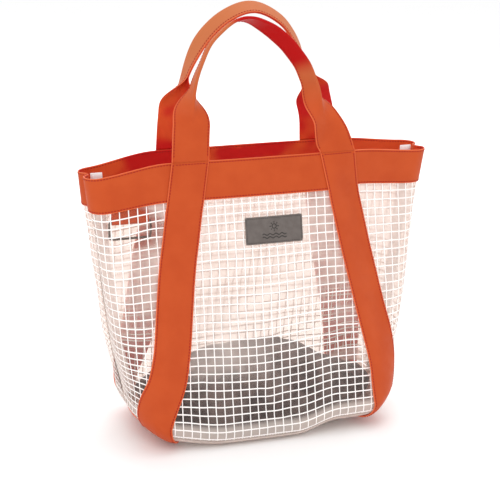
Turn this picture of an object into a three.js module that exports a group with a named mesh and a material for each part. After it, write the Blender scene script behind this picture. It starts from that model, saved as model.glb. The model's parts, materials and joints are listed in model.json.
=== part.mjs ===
// Clear-mesh beach bag with coated-tape straps, in millimetres.
// +X is the bag's right, -Y its front, +Z up. The origin is on the surface the bag stands on,
// under the middle of the base.
import * as THREE from 'three';
import { mergeVertices } from 'three/addons/utils/BufferGeometryUtils.js';

// ---- driving dimensions ----
const RIM_HEIGHT = 344;
const RIM_HALF_WIDTH = 213;
const RIM_HALF_DEPTH = 33;
const RIM_CORNER = 14;
const RIM_BOW = 6;
const LEFT_RIM_DROP = 14;
const RIGHT_RIM_DROP = 7;
const RIM_DROP_START = 116;
const GUSSET_FOLD = 8;
const BASE_HALF_WIDTH = 169;
const BASE_HALF_DEPTH = 88;
const BASE_CORNER = 54;
const BASE_BOW = 3;
const BASE_ROUNDING = 20;
const BASE_LIFT = 13;
const LEFT_LIFT_X = [60, 150];
const RIGHT_LIFT_X = [28, 84];
const CORNER_LIFT = 18;
const CORNER_LIFT_X = [126, 170];
const BASE_LIFT_HEIGHT = 150;
const RECESS = 18;
const RECESS_LOW = [20, 100];
const STRAP_STEPS = 6;
const RECESS_SEAM_HOLD = 3;
const WALL_BULGE = 3;

const SHEET = 1.0;
const TAPE = 1.6;
const TAPE_WIDTH = 45;
const GAP = 0.4;
const SIDE_SEAM_CLEARANCE = 1.8;
const PANEL_TO_RIM = 32;
const PANEL_START_TURN = THREE.MathUtils.degToRad(56);
const BASE_END_TURN = THREE.MathUtils.degToRad(52);
const BASE_RING_SCALES = [0.18, 0.3, 0.42, 0.55, 0.68, 0.84];

const STRAP_OFFSET = 1.0;
const STRAP_RIM_X = 92;
const STRAP_BASE_S = 152;
const STRAP_UNDER_X = 136;
const LEFT_STRAP_SWAY = -8;
const RIGHT_STRAP_SWAY = 5;
const SWAY_MIDDLE = 90;
const SWAY_TOP = 240;
const STRAP_LIFT_RUN = 14;
const STRAP_BEND_SHARE = 0.7;

const HANDLE_LEAN = THREE.MathUtils.degToRad(3.4);
const FOLD_ANGLE = THREE.MathUtils.degToRad(88);
const FOLD_GAP = 0.5;
const FRONT_FOLD_OVER = [42, 84];
const BACK_FOLD_OVER = [50, 93];
const FOOT_FOLLOWS_TO = 42;
const FOOT_UPRIGHT = 24;
const FOOT_CLEARANCE = 0.6;
const HANDLE_STATIONS = 44;
const FRONT_ARM_TWIST = THREE.MathUtils.degToRad(-14);
const FRONT_ARM_TWIST_ON = [0.18, 0.3];
const FRONT_TWIST = THREE.MathUtils.degToRad(-44);
const FRONT_TWIST_ON = [0.45, 0.6];
const FRONT_TWIST_OFF = [0.84, 0.98];
const BACK_TWIST = THREE.MathUtils.degToRad(-27);
const BACK_TWIST_ON = [0.2, 0.34];
const BACK_TWIST_OFF = [0.66, 0.8];

const LABEL_SIZE = [72, 32, 1.0];
const LABEL_CENTRE = [7, 258.5];

const RING_SIZE = [52, 24];
const RING_WIRE = 2.6;
const RING_CHAMFER = 0.6;
const RING_CORNER = 3.4;
const RING_HOLE_CORNER = 2.0;
const RING_CENTRE_X = -165;
const TAB_WIDTH = 44;
const TAB_LOOP_RADIUS = 2.5;
const TAB_NECK = 6.5;
const TAB_HANG = 16.5;
const TAB_OVERLAP = 12;

const BINDING_WIDTH = 16;
const BINDING_THICKNESS = 2.4;

const POUCH_HALF = [150, 72];
const POUCH_HEIGHT = 104;
const POUCH_CLEARANCE = 3;
const POUCH_FLOOR_SCALES = [0.2, 0.4, 0.6, 0.8];
const POUCH_SQUARENESS = 2 / 3;
const POUCH_LEVELS = [[0, 0.86], [0.12, 0.96], [0.32, 1], [0.6, 0.94], [0.82, 0.76], [0.95, 0.46]];
const POUCH_SIDES = 36;

// ---- derived heights ----
const WALL_Z = BASE_ROUNDING;
const BAND_LOW = RIM_HEIGHT - TAPE_WIDTH;
const BAND_OFFSET = GAP;
const STRAP_OVER_BAND = BAND_OFFSET + TAPE + GAP;
const PANEL_TOP = RIM_HEIGHT - PANEL_TO_RIM;

// ---- colours ----
const ORANGE = 0xcb4f2b;
const CLEAR = 0xf4ece6;
const WHITE = 0xf6f3f0;
const LABEL_GREY = 0x6f6a68;
const RING_GREY = 0x5f5852;
const CHARCOAL = 0x4d4545;

function material(color, roughness, metalness = 0) {
  return new THREE.MeshStandardMaterial({ color, roughness, metalness });
}

const ease = THREE.MathUtils.smoothstep;
const mix = THREE.MathUtils.lerp;

// ---- the bag's outer surface ----
// Its plan at one height is four equal quarters: a slightly bowed front, a round corner,
// and an end that folds inward towards the side seam as it nears the rim.
function planAt(z, inset = 0) {
  const t = THREE.MathUtils.clamp((z - WALL_Z) / (RIM_HEIGHT - WALL_Z), 0, 1);
  const bulge = WALL_BULGE * Math.sin(Math.PI * t);
  const halfWidth = mix(BASE_HALF_WIDTH, RIM_HALF_WIDTH, t) + bulge;
  const halfDepth = mix(BASE_HALF_DEPTH, RIM_HALF_DEPTH, t) + bulge;
  const corner = mix(BASE_CORNER, RIM_CORNER, t);
  const bow = mix(BASE_BOW, RIM_BOW, t);
  const front = halfWidth - corner;
  const endRun = halfDepth - bow - corner;
  const fold = GUSSET_FOLD * t * t;
  return {
    t,
    front,
    corner: corner - inset,
    bow,
    halfDepth: halfDepth - inset,
    endRun,
    fold,
    arc: (corner - inset) * Math.PI / 2,
    end: Math.hypot(endRun, fold),
    fullCorner: corner,
  };
}

function quarterLength(plan) {
  return plan.front + plan.arc + plan.end;
}

// Point and outward normal at distance s from the middle of the front, right quarter.
function quarterPoint(plan, s) {
  if (s <= plan.front) {
    const k = s / plan.front;
    const slope = 2 * plan.bow * k / plan.front;
    const n = new THREE.Vector2(slope, -1).normalize();
    return { x: s, y: -plan.halfDepth + plan.bow * k * k, nx: n.x, ny: n.y };
  }
  const centreY = -plan.endRun;
  if (s <= plan.front + plan.arc) {
    const a = (s - plan.front) / plan.corner;
    const nx = Math.sin(a);
    const ny = -Math.cos(a);
    return { x: plan.front + plan.corner * nx, y: centreY + plan.corner * ny, nx, ny };
  }
  const k = Math.min(1, (s - plan.front - plan.arc) / plan.end);
  const x = plan.front + plan.corner - plan.fold * ease(k, 0, 1);
  return { x, y: centreY * (1 - k), nx: 1, ny: 0 };
}

// s runs from the side seam on the left, through 0 at the middle, to the right.
function planPoint(plan, s, side = 'front') {
  const q = quarterPoint(plan, Math.abs(s));
  const signX = s < 0 ? -1 : 1;
  const signY = side === 'front' ? 1 : -1;
  return { x: q.x * signX, y: q.y * signY, nx: q.nx * signX, ny: q.ny * signY };
}

function rimDrop(x, t) {
  const reach = (Math.abs(x) - RIM_DROP_START) / (RIM_HALF_WIDTH - RIM_DROP_START);
  const drop = x < 0 ? LEFT_RIM_DROP : RIGHT_RIM_DROP;
  return drop * t * t * ease(reach, 0, 1);
}

// The soft base rises towards its two ends, and the walls take that up as they go higher.
function baseLift(x, z = 0) {
  const reach = Math.abs(x);
  const end = ease(reach, ...(x < 0 ? LEFT_LIFT_X : RIGHT_LIFT_X));
  const rise = BASE_LIFT * end + CORNER_LIFT * ease(reach, ...CORNER_LIFT_X);
  return rise * (1 - ease(z, 0, BASE_LIFT_HEIGHT));
}

// Where each strap's middle lies on the wall, measured from the middle of the front.
function strapCentre(z, hand) {
  const down = (RIM_HEIGHT - z) / (RIM_HEIGHT - WALL_Z);
  const sway = ease(z, WALL_Z, SWAY_MIDDLE) * (1 - ease(z, SWAY_MIDDLE, SWAY_TOP));
  const reach = hand < 0 ? LEFT_STRAP_SWAY : RIGHT_STRAP_SWAY;
  return mix(STRAP_RIM_X, STRAP_BASE_S, down) + reach * sway;
}

// Below the rim the front wall is drawn back, from its right strap outwards.
function recessAt(s, z, y, side) {
  if (side !== 'front' || s <= 0) return 0;
  const past = s - strapCentre(z, 1) + TAPE_WIDTH / 2;
  const reach = THREE.MathUtils.clamp(past / TAPE_WIDTH, 0, 1);
  const top = THREE.MathUtils.clamp((RIM_HEIGHT - z) / TAPE_WIDTH, 0, 1);
  const depth = RECESS * reach * top * ease(z, ...RECESS_LOW);
  const share = Math.max(Math.abs(y) - RECESS_SEAM_HOLD, 0) / (planAt(z).halfDepth - RECESS_SEAM_HOLD);
  return depth * share;
}

function wallPoint(s, z, offset, side = 'front') {
  const plan = planAt(z);
  const p = planPoint(plan, s, side);
  const x = p.x + p.nx * offset;
  const y = p.y + p.ny * offset + recessAt(s, z, p.y, side);
  return new THREE.Vector3(x, y, z - rimDrop(p.x, plan.t) + baseLift(p.x, z));
}

// The rounding between the walls and the base: turn 0 is the base, a quarter turn is the wall.
function roundingPoint(s, turn, offset, side = 'front') {
  const inset = BASE_ROUNDING * (1 - Math.sin(turn));
  const plan = planAt(WALL_Z, inset);
  const p = planPoint(plan, s, side);
  const out = Math.sin(turn) * offset;
  const z = BASE_ROUNDING * (1 - Math.cos(turn));
  const height = z - Math.cos(turn) * offset + baseLift(p.x, z);
  return new THREE.Vector3(p.x + p.nx * out, p.y + p.ny * out, height);
}

function basePoint(x, y, offset) {
  return new THREE.Vector3(x, y, baseLift(x) - offset);
}

// ---- closed solids from point grids ----
function solidFromTriangles(points, triangles) {
  const geometry = new THREE.BufferGeometry();
  const flat = points.flatMap((p) => [p.x, p.y, p.z]);
  geometry.setAttribute('position', new THREE.Float32BufferAttribute(flat, 3));
  let volume = 0;
  for (const [a, b, c] of triangles) {
    volume += points[a].dot(new THREE.Vector3().crossVectors(points[b], points[c]));
  }
  const outward = volume > 0 ? triangles : triangles.map(([a, b, c]) => [a, c, b]);
  geometry.setIndex(outward.flat());
  return mergeVertices(geometry, 1e-4);
}

// Two grids of the same size, one each side of a thin sheet, closed along all four edges.
function sheetSolid(outer, inner) {
  const rows = outer.length;
  const columns = outer[0].length;
  const points = [...outer.flat(), ...inner.flat()];
  const at = (layer, r, c) => layer * rows * columns + r * columns + c;
  const triangles = [];
  const quad = (a, b, c, d) => triangles.push([a, b, c], [a, c, d]);
  for (let r = 0; r < rows - 1; r++) {
    for (let c = 0; c < columns - 1; c++) {
      quad(at(0, r, c), at(0, r, c + 1), at(0, r + 1, c + 1), at(0, r + 1, c));
      quad(at(1, r, c), at(1, r + 1, c), at(1, r + 1, c + 1), at(1, r, c + 1));
    }
  }
  for (let c = 0; c < columns - 1; c++) {
    quad(at(0, 0, c), at(1, 0, c), at(1, 0, c + 1), at(0, 0, c + 1));
    quad(at(0, rows - 1, c), at(0, rows - 1, c + 1), at(1, rows - 1, c + 1), at(1, rows - 1, c));
  }
  for (let r = 0; r < rows - 1; r++) {
    quad(at(0, r, 0), at(0, r + 1, 0), at(1, r + 1, 0), at(1, r, 0));
    const last = columns - 1;
    quad(at(0, r, last), at(1, r, last), at(1, r + 1, last), at(0, r + 1, last));
  }
  return solidFromTriangles(points, triangles);
}

// Rings of equal length, capped by a fan at each end.
function ringSolid(rings, firstPole, lastPole) {
  const n = rings[0].length;
  const points = [...rings.flat(), firstPole, lastPole];
  const first = points.length - 2;
  const last = points.length - 1;
  const triangles = [];
  for (let r = 0; r < rings.length - 1; r++) {
    for (let i = 0; i < n; i++) {
      const j = (i + 1) % n;
      const a = r * n;
      const b = a + n;
      triangles.push([a + i, a + j, b + j], [a + i, b + j, b + i]);
    }
  }
  const end = (rings.length - 1) * n;
  for (let i = 0; i < n; i++) {
    const j = (i + 1) % n;
    triangles.push([first, j, i], [last, end + i, end + j]);
  }
  return solidFromTriangles(points, triangles);
}

function steps(count, from, to) {
  return Array.from({ length: count + 1 }, (_, i) => mix(from, to, i / count));
}

// Distances along one quarter, closer together round the corner.
function quarterStops(plan, shortBy) {
  const front = steps(6, 0, plan.front);
  const arc = steps(8, plan.front, plan.front + plan.arc).slice(1);
  const end = steps(3, plan.front + plan.arc, quarterLength(plan) - shortBy).slice(1);
  return [...front, ...arc, ...end];
}

// The same for the right of the front, with places where the drawn-back part starts and ends.
function recessStops(plan, z, shortBy) {
  const middle = strapCentre(z, 1);
  const from = middle - TAPE_WIDTH / 2;
  const to = middle + TAPE_WIDTH / 2;
  const flatEnd = Math.max(plan.front, to + 1);
  const arcEnd = Math.max(plan.front + plan.arc, flatEnd + 1);
  return [
    ...steps(4, 0, from),
    ...steps(STRAP_STEPS, from, to).slice(1),
    ...steps(2, to, flatEnd).slice(1),
    ...steps(8, flatEnd, arcEnd).slice(1),
    ...steps(3, arcEnd, quarterLength(plan) - shortBy).slice(1),
  ];
}

function panelStops(plan, z, shortBy, side) {
  const left = quarterStops(plan, shortBy);
  const right = side === 'front' ? recessStops(plan, z, shortBy) : left;
  return [...left.slice(1).reverse().map((s) => -s), ...right];
}

// ---- pieces ----
const bag = new THREE.Group();

function addPiece(name, geometry, surface, parent = bag) {
  const mesh = new THREE.Mesh(geometry, surface);
  mesh.name = name;
  parent.add(mesh);
  return mesh;
}

// Heights shared by everything that follows the wall, so that layers keep their distance.
const WALL_HEIGHTS = [
  ...steps(12, WALL_Z, BAND_LOW - STRAP_LIFT_RUN),
  BAND_LOW - STRAP_LIFT_RUN / 2,
  ...steps(2, BAND_LOW, PANEL_TOP),
  ...steps(4, PANEL_TOP, RIM_HEIGHT).slice(1),
];

function panelGrid(side, offset) {
  const lower = steps(2, PANEL_START_TURN, Math.PI / 2).slice(0, -1).map((turn) => {
    const plan = planAt(WALL_Z, BASE_ROUNDING * (1 - Math.sin(turn)));
    const stops = panelStops(plan, WALL_Z, SIDE_SEAM_CLEARANCE, side);
    return stops.map((s) => roundingPoint(s, turn, offset, side));
  });
  const upper = WALL_HEIGHTS.filter((z) => z <= PANEL_TOP).map((z) => {
    const stops = panelStops(planAt(z), z, SIDE_SEAM_CLEARANCE, side);
    return stops.map((s) => wallPoint(s, z, offset, side));
  });
  return [...lower, ...upper];
}

function bandGrid(side, offset) {
  return WALL_HEIGHTS.filter((z) => z >= BAND_LOW).map((z) => {
    const stops = panelStops(planAt(z), z, SIDE_SEAM_CLEARANCE, side);
    return stops.map((s) => wallPoint(s, z, offset, side));
  });
}

for (const side of ['front', 'back']) {
  const panel = sheetSolid(panelGrid(side, 0), panelGrid(side, -SHEET));
  addPiece(`${side}_panel`, panel, material(CLEAR, 0.2));
  const band = sheetSolid(bandGrid(side, BAND_OFFSET + TAPE), bandGrid(side, BAND_OFFSET));
  addPiece(`${side}_band`, band, material(ORANGE, 0.5));
}

// The base is a shallow dish whose turned-up edge meets the two panels.
function baseStops(plan) {
  const front = steps(8, 0, plan.front);
  const arc = steps(6, plan.front, plan.front + plan.arc).slice(1);
  const end = steps(2, plan.front + plan.arc, quarterLength(plan)).slice(1);
  const right = [...front, ...arc, ...end];
  return [...right.slice(1).reverse().map((s) => -s), ...right];
}

function baseRing(turn, offset) {
  const plan = planAt(WALL_Z, BASE_ROUNDING * (1 - Math.sin(turn)));
  const front = baseStops(plan).map((s) => roundingPoint(s, turn, offset, 'front'));
  const back = front.slice(1, -1).reverse().map((p) => new THREE.Vector3(p.x, -p.y, p.z));
  return [...front, ...back];
}

function basePanel() {
  const turns = steps(3, 0, BASE_END_TURN);
  const edge = baseRing(0, 0);
  const layer = (offset) => [
    ...BASE_RING_SCALES.map((k) => edge.map((p) => basePoint(p.x * k, p.y * k, offset))),
    ...turns.map((turn) => baseRing(turn, offset)),
  ];
  const outer = layer(0);
  const inner = layer(-SHEET).reverse();
  return ringSolid([...outer, ...inner], basePoint(0, 0, 0), basePoint(0, 0, -SHEET));
}

addPiece('base_panel', basePanel(), material(CLEAR, 0.2));

// Each strap is one tape: down the front, under the base and up the back.
function strapOffset(z) {
  const over = ease(z, BAND_LOW - STRAP_LIFT_RUN, BAND_LOW);
  return mix(STRAP_OFFSET, STRAP_OVER_BAND, over);
}

function strapRow(kind, value, across, extra, side, hand) {
  if (kind === 'wall') {
    const s = hand * (strapCentre(value, hand) + across);
    return wallPoint(s, value, strapOffset(value) + extra, side);
  }
  const inset = BASE_ROUNDING * (1 - Math.sin(value));
  const plan = planAt(WALL_Z);
  const onArc = Math.max(0, STRAP_BASE_S - plan.front);
  const centre = plan.front + onArc * (plan.fullCorner - inset) / plan.fullCorner;
  return roundingPoint(hand * (centre + across), value, STRAP_OFFSET + extra, side);
}

function strapGrid(hand, extra) {
  const widths = steps(STRAP_STEPS, -TAPE_WIDTH / 2, TAPE_WIDTH / 2);
  const half = (side) => {
    const heights = [...WALL_HEIGHTS].reverse();
    const turns = steps(5, Math.PI / 2, 0).slice(1);
    const rows = heights.map((z) => widths.map((w) => strapRow('wall', z, w, extra, side, hand)));
    const under = turns.map((a) => widths.map((w) => strapRow('turn', a, w, extra, side, hand)));
    return [...rows, ...under];
  };
  const front = half('front');
  const back = half('back').reverse();
  const start = front[front.length - 1];
  const across = steps(8, 0, 1).slice(1, -1).map((k) => start.map((p, i) => {
    const blend = ease(1 - Math.abs(1 - 2 * k), 0, STRAP_BEND_SHARE);
    const x = mix(p.x, hand * (STRAP_UNDER_X + widths[i]), blend);
    return basePoint(x, mix(p.y, -p.y, k), STRAP_OFFSET + extra);
  }));
  return [...front, ...across, ...back];
}

for (const [name, hand] of [['left_strap', -1], ['right_strap', 1]]) {
  const strap = sheetSolid(strapGrid(hand, TAPE), strapGrid(hand, 0));
  addPiece(name, strap, material(ORANGE, 0.5));
}

// Each handle is the same tape going on above the rim: flat at its feet, folded in half
// lengthwise into a soft grip round the arch. Its path is drawn in its own leaning plane.
const FRONT_PATH = [
  [-STRAP_RIM_X, 0], [-89, 50], [-83, 86], [-60, 136], [-24, 161],
  [14, 145], [50, 106], [67, 63], [81, 29], [STRAP_RIM_X, 0],
];
const BACK_PATH = [
  [-STRAP_RIM_X, 0], [-90, 36], [-84, 86], [-63, 133], [-34, 160], [-1, 170],
  [34, 154], [58, 122], [75, 80], [89, 36], [STRAP_RIM_X, 0],
];

// The section is centred on the path: flat it is one straight tape, folded it is two arms.
function handleSection(fold, halfThickness) {
  const root = TAPE / 2 + FOLD_GAP / 2;
  const arm = TAPE_WIDTH / 2 - root;
  const centring = new THREE.Vector2(0, Math.sin(fold) * arm / 2);
  const side = (sign) => {
    const start = new THREE.Vector2(sign * root, 0).add(centring);
    const along = new THREE.Vector2(sign * Math.cos(fold), -Math.sin(fold));
    const face = new THREE.Vector2(sign * Math.sin(fold), Math.cos(fold));
    const end = start.clone().addScaledVector(along, arm);
    const lift = face.multiplyScalar(halfThickness);
    return [end.add(lift), start.add(lift)];
  };
  const [endA, startA] = side(1);
  const [endB, startB] = side(-1);
  return [endA, startA, new THREE.Vector2(0, halfThickness).add(centring), startB, endB];
}

function handleGrid(path, face, twistAt, foldOver, halfThickness) {
  const points = path.map(([x, h]) => new THREE.Vector3(x, 0, h));
  const curve = new THREE.CatmullRomCurve3(points, false, 'centripetal');
  const hinge = hingeLine(face);
  const armReach = (TAPE_WIDTH - TAPE - FOLD_GAP) / 4;
  return steps(HANDLE_STATIONS, 0, 1).map((u) => {
    const p = curve.getPointAt(u);
    const upright = new THREE.Vector3(0, 0, u < 0.5 ? 1 : -1);
    const tangent = curve.getTangentAt(u).lerp(upright, 1 - ease(p.z, 0, FOOT_UPRIGHT)).normalize();
    const fold = FOLD_ANGLE * ease(p.z, ...foldOver);
    const twist = twistAt(u);
    const w = new THREE.Vector3(-tangent.z, 0, tangent.x).applyAxisAngle(tangent, twist);
    const n = new THREE.Vector3(0, -1, 0).applyAxisAngle(tangent, twist);
    p.y = armReach * Math.sin(fold);
    return handleSection(fold, halfThickness).map((q) => {
      const local = p.clone().addScaledVector(w, q.x).addScaledVector(n, q.y);
      return placeOnRim(local, face, hinge);
    });
  });
}

function hingeLine(face) {
  const q = quarterPoint(planAt(RIM_HEIGHT), STRAP_RIM_X);
  return { y: face * (q.y - STRAP_OVER_BAND - TAPE / 2), z: RIM_HEIGHT + FOOT_CLEARANCE };
}

// Leans a point of the handle's plane inward and follows the bowed rim at its feet.
function placeOnRim(local, face, hinge) {
  const bowHere = quarterPoint(planAt(RIM_HEIGHT), Math.abs(local.x)).y;
  const bowThere = quarterPoint(planAt(RIM_HEIGHT), STRAP_RIM_X).y;
  const follow = (bowHere - bowThere) * (1 - ease(local.z, 0, FOOT_FOLLOWS_TO));
  const lean = local.z * Math.tan(HANDLE_LEAN);
  return new THREE.Vector3(local.x, hinge.y + face * (local.y + lean + follow), hinge.z + local.z);
}

const frontTwist = (u) => {
  const turned = ease(u, ...FRONT_TWIST_ON);
  const arm = FRONT_ARM_TWIST * ease(u, ...FRONT_ARM_TWIST_ON) * (1 - turned);
  return arm + FRONT_TWIST * turned * (1 - ease(u, ...FRONT_TWIST_OFF));
};
const backTwist = (u) => BACK_TWIST * ease(u, ...BACK_TWIST_ON) * (1 - ease(u, ...BACK_TWIST_OFF));

for (const [name, path, face, twist, foldOver] of [
  ['front_handle', FRONT_PATH, 1, frontTwist, FRONT_FOLD_OVER],
  ['back_handle', BACK_PATH, -1, backTwist, BACK_FOLD_OVER],
]) {
  const handle = sheetSolid(
    handleGrid(path, face, twist, foldOver, TAPE / 2),
    handleGrid(path, face, twist, foldOver, -TAPE / 2),
  );
  addPiece(name, handle, material(ORANGE, 0.5));
}

// The side seams are bound with a folded tape whose flange stands inside the bag.
function seamFlange(hand) {
  const grid = (y) => WALL_HEIGHTS.map((z) => {
    const seam = wallPoint(hand * quarterLength(planAt(z)), z, 0);
    return steps(1, 0, BINDING_WIDTH).map((d) => new THREE.Vector3(seam.x - hand * d, y, seam.z));
  });
  return sheetSolid(grid(-BINDING_THICKNESS / 2), grid(BINDING_THICKNESS / 2));
}

addPiece('left_seam_binding', seamFlange(-1), material(WHITE, 0.5));
addPiece('right_seam_binding', seamFlange(1), material(WHITE, 0.5));

// The label lies on the front panel.
function labelPatch() {
  const [width, height, thickness] = LABEL_SIZE;
  const [cx, cz] = LABEL_CENTRE;
  const grid = (offset) => steps(2, cz - height / 2, cz + height / 2).map((z) => (
    steps(6, cx - width / 2, cx + width / 2).map((x) => wallPoint(x, z, offset))
  ));
  return sheetSolid(grid(GAP + thickness), grid(GAP));
}

addPiece('label_patch', labelPatch(), material(LABEL_GREY, 0.6));

// A short tape loop sewn inside the front band holds the ring by its top bar.
// Its outer edge is where the wall stands furthest in.
const TAB_EDGE = RING_CENTRE_X - TAB_WIDTH / 2;
const lowPoint = wallPoint(TAB_EDGE, BAND_LOW - TAB_HANG, -SHEET - GAP);
const highPoint = wallPoint(TAB_EDGE, BAND_LOW, -SHEET - GAP);
const TAB_TILT = Math.atan2(highPoint.y - lowPoint.y, highPoint.z - lowPoint.z);
const TAB_OUTER_RADIUS = TAB_LOOP_RADIUS + TAPE;
const LOOP_CENTRE = new THREE.Vector3(
  RING_CENTRE_X,
  lowPoint.y + TAB_OUTER_RADIUS + 2 * GAP,
  lowPoint.z + TAB_OUTER_RADIUS,
);

// The outline's x axis points away from the wall and its y axis up along it.
function ringTab() {
  const top = TAB_HANG + TAB_OVERLAP - TAB_OUTER_RADIUS;
  const wallLeg = -TAB_LOOP_RADIUS;
  const looseLeg = wallLeg + GAP;
  const outline = new THREE.Shape();
  outline.moveTo(-TAB_OUTER_RADIUS, top);
  outline.lineTo(-TAB_OUTER_RADIUS, 0);
  outline.absarc(0, 0, TAB_OUTER_RADIUS, Math.PI, 2 * Math.PI, false);
  outline.lineTo(looseLeg + TAPE, TAB_NECK);
  outline.lineTo(looseLeg + TAPE, top);
  outline.lineTo(looseLeg, top);
  outline.lineTo(looseLeg, TAB_NECK - TAPE / 2);
  outline.lineTo(TAB_LOOP_RADIUS, 0);
  outline.absarc(0, 0, TAB_LOOP_RADIUS, 0, -Math.PI, true);
  outline.lineTo(wallLeg, top);
  outline.closePath();
  const tab = new THREE.ExtrudeGeometry(outline, {
    depth: TAB_WIDTH,
    bevelEnabled: false,
    curveSegments: 8,
  });
  tab.translate(0, 0, -TAB_WIDTH / 2);
  return tab;
}

const tab = addPiece('ring_tab', ringTab(), material(ORANGE, 0.5));
tab.position.copy(LOOP_CENTRE);
tab.quaternion.setFromRotationMatrix(new THREE.Matrix4().makeBasis(
  new THREE.Vector3(0, Math.cos(TAB_TILT), -Math.sin(TAB_TILT)),
  new THREE.Vector3(0, Math.sin(TAB_TILT), Math.cos(TAB_TILT)),
  new THREE.Vector3(1, 0, 0),
));

function roundedRectangle(path, halfWidth, top, bottom, radius) {
  path.moveTo(-halfWidth + radius, bottom);
  path.absarc(halfWidth - radius, bottom + radius, radius, -Math.PI / 2, 0, false);
  path.absarc(halfWidth - radius, top - radius, radius, 0, Math.PI / 2, false);
  path.absarc(-halfWidth + radius, top - radius, radius, Math.PI / 2, Math.PI, false);
  path.absarc(-halfWidth + radius, bottom + radius, radius, Math.PI, 1.5 * Math.PI, false);
  return path;
}

function ringLoop() {
  const [width, height] = RING_SIZE;
  const chamfer = RING_CHAMFER;
  const top = RING_WIRE / 2;
  const outline = roundedRectangle(
    new THREE.Shape(), width / 2 - chamfer, top - chamfer, top - height + chamfer, RING_CORNER);
  outline.holes.push(roundedRectangle(
    new THREE.Path(), width / 2 - RING_WIRE + chamfer, top - RING_WIRE + chamfer,
    top - height + RING_WIRE - chamfer, RING_HOLE_CORNER));
  const ring = new THREE.ExtrudeGeometry(outline, {
    depth: RING_WIRE - 2 * chamfer,
    bevelThickness: chamfer,
    bevelSize: chamfer,
    bevelSegments: 1,
    curveSegments: 4,
  });
  ring.translate(0, 0, -(RING_WIRE - 2 * chamfer) / 2);
  return ring;
}

const ring = addPiece('ring', ringLoop(), material(RING_GREY, 0.5));
ring.position.copy(LOOP_CENTRE);
ring.rotation.x = Math.PI / 2;

// The dark cloth pouch lies loose in the bottom of the bag.
function innerPouch() {
  const floor = SHEET + POUCH_CLEARANCE;
  const grow = (a) => Math.sign(a) * Math.abs(a) ** POUCH_SQUARENESS;
  const rings = POUCH_LEVELS.map(([height, scale]) => Array.from({ length: POUCH_SIDES }, (_, i) => {
    const angle = 2 * Math.PI * i / POUCH_SIDES;
    const x = POUCH_HALF[0] * scale * grow(Math.cos(angle));
    const y = POUCH_HALF[1] * scale * grow(Math.sin(angle));
    const z = height * POUCH_HEIGHT;
    return new THREE.Vector3(x, y, floor + z + baseLift(x, z));
  }));
  const under = POUCH_FLOOR_SCALES.map((k) => rings[0].map((p) => (
    new THREE.Vector3(p.x * k, p.y * k, floor + baseLift(p.x * k))
  )));
  const low = new THREE.Vector3(0, 0, floor);
  const high = new THREE.Vector3(0, 0, floor + POUCH_HEIGHT);
  return ringSolid([...under, ...rings], low, high);
}

addPiece('inner_pouch', innerPouch(), material(CHARCOAL, 0.8));

export default bag;
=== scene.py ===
# Looks of the clear-mesh beach bag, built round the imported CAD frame.
# Shapes are worked out in millimetres and turned into metres when a mesh is made.
import json
import math
from types import SimpleNamespace

import bmesh
import bpy
import numpy as np
from mathutils import Matrix, Vector, noise


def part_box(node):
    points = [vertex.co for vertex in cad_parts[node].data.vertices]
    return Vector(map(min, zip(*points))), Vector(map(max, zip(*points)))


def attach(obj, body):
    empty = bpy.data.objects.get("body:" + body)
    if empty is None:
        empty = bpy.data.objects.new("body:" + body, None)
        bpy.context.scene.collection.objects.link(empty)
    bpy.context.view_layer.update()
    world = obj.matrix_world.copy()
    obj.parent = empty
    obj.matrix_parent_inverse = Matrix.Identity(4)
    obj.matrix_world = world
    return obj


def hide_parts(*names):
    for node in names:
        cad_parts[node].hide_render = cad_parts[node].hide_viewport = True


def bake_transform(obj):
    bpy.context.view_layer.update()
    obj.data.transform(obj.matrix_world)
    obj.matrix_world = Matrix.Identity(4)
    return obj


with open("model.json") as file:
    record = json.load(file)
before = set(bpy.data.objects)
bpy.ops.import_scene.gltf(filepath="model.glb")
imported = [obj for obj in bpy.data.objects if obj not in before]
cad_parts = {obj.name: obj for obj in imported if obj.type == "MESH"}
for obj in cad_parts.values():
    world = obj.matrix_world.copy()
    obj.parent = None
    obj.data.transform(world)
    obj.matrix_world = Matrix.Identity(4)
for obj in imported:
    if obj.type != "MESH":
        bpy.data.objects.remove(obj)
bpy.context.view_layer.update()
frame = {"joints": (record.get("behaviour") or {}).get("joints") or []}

MM = 0.001
BODY = "bag_body"
JOINTS = {joint["name"]: joint for joint in frame["joints"]}


def box_mm(node):
    low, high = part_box(node)
    return np.array(low) / MM, np.array(high) / MM


# ---- driving dimensions, in millimetres ----
BAND_BOX = box_mm("front_band")
# The outline at the rim and at the base.
RIM_HEIGHT = BAND_BOX[1][2]
RIM_HALF_WIDTH = 213.0
RIM_HALF_DEPTH = 33.0
RIM_CORNER = 14.0
RIM_BOW = 6.0
LEFT_RIM_DROP = 14.0
RIGHT_RIM_DROP = 7.0
RIM_DROP_START = 116.0
GUSSET_FOLD = 8.0
BASE_HALF_WIDTH = 169.0
BASE_HALF_DEPTH = 88.0
BASE_CORNER = 54.0
BASE_BOW = 3.0
BASE_ROUNDING = 20.0
# How far the base is lifted towards its ends and at its corners, and where along x.
BASE_LIFT = 13.0
LEFT_LIFT_X = (60.0, 150.0)
RIGHT_LIFT_X = (28.0, 84.0)
CORNER_LIFT = 18.0
CORNER_LIFT_X = (126.0, 170.0)
BASE_LIFT_HEIGHT = 150.0
# How far the front wall is drawn back past its right strap.
RECESS = 18.0
RECESS_LOW = (20.0, 100.0)
RECESS_SEAM_HOLD = 3.0
RECESS_SOFTNESS = 3.0
# The wall stands on the base's rounding and bulges half way up.
WALL_BULGE = 3.0
WALL_Z = BASE_ROUNDING

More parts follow.
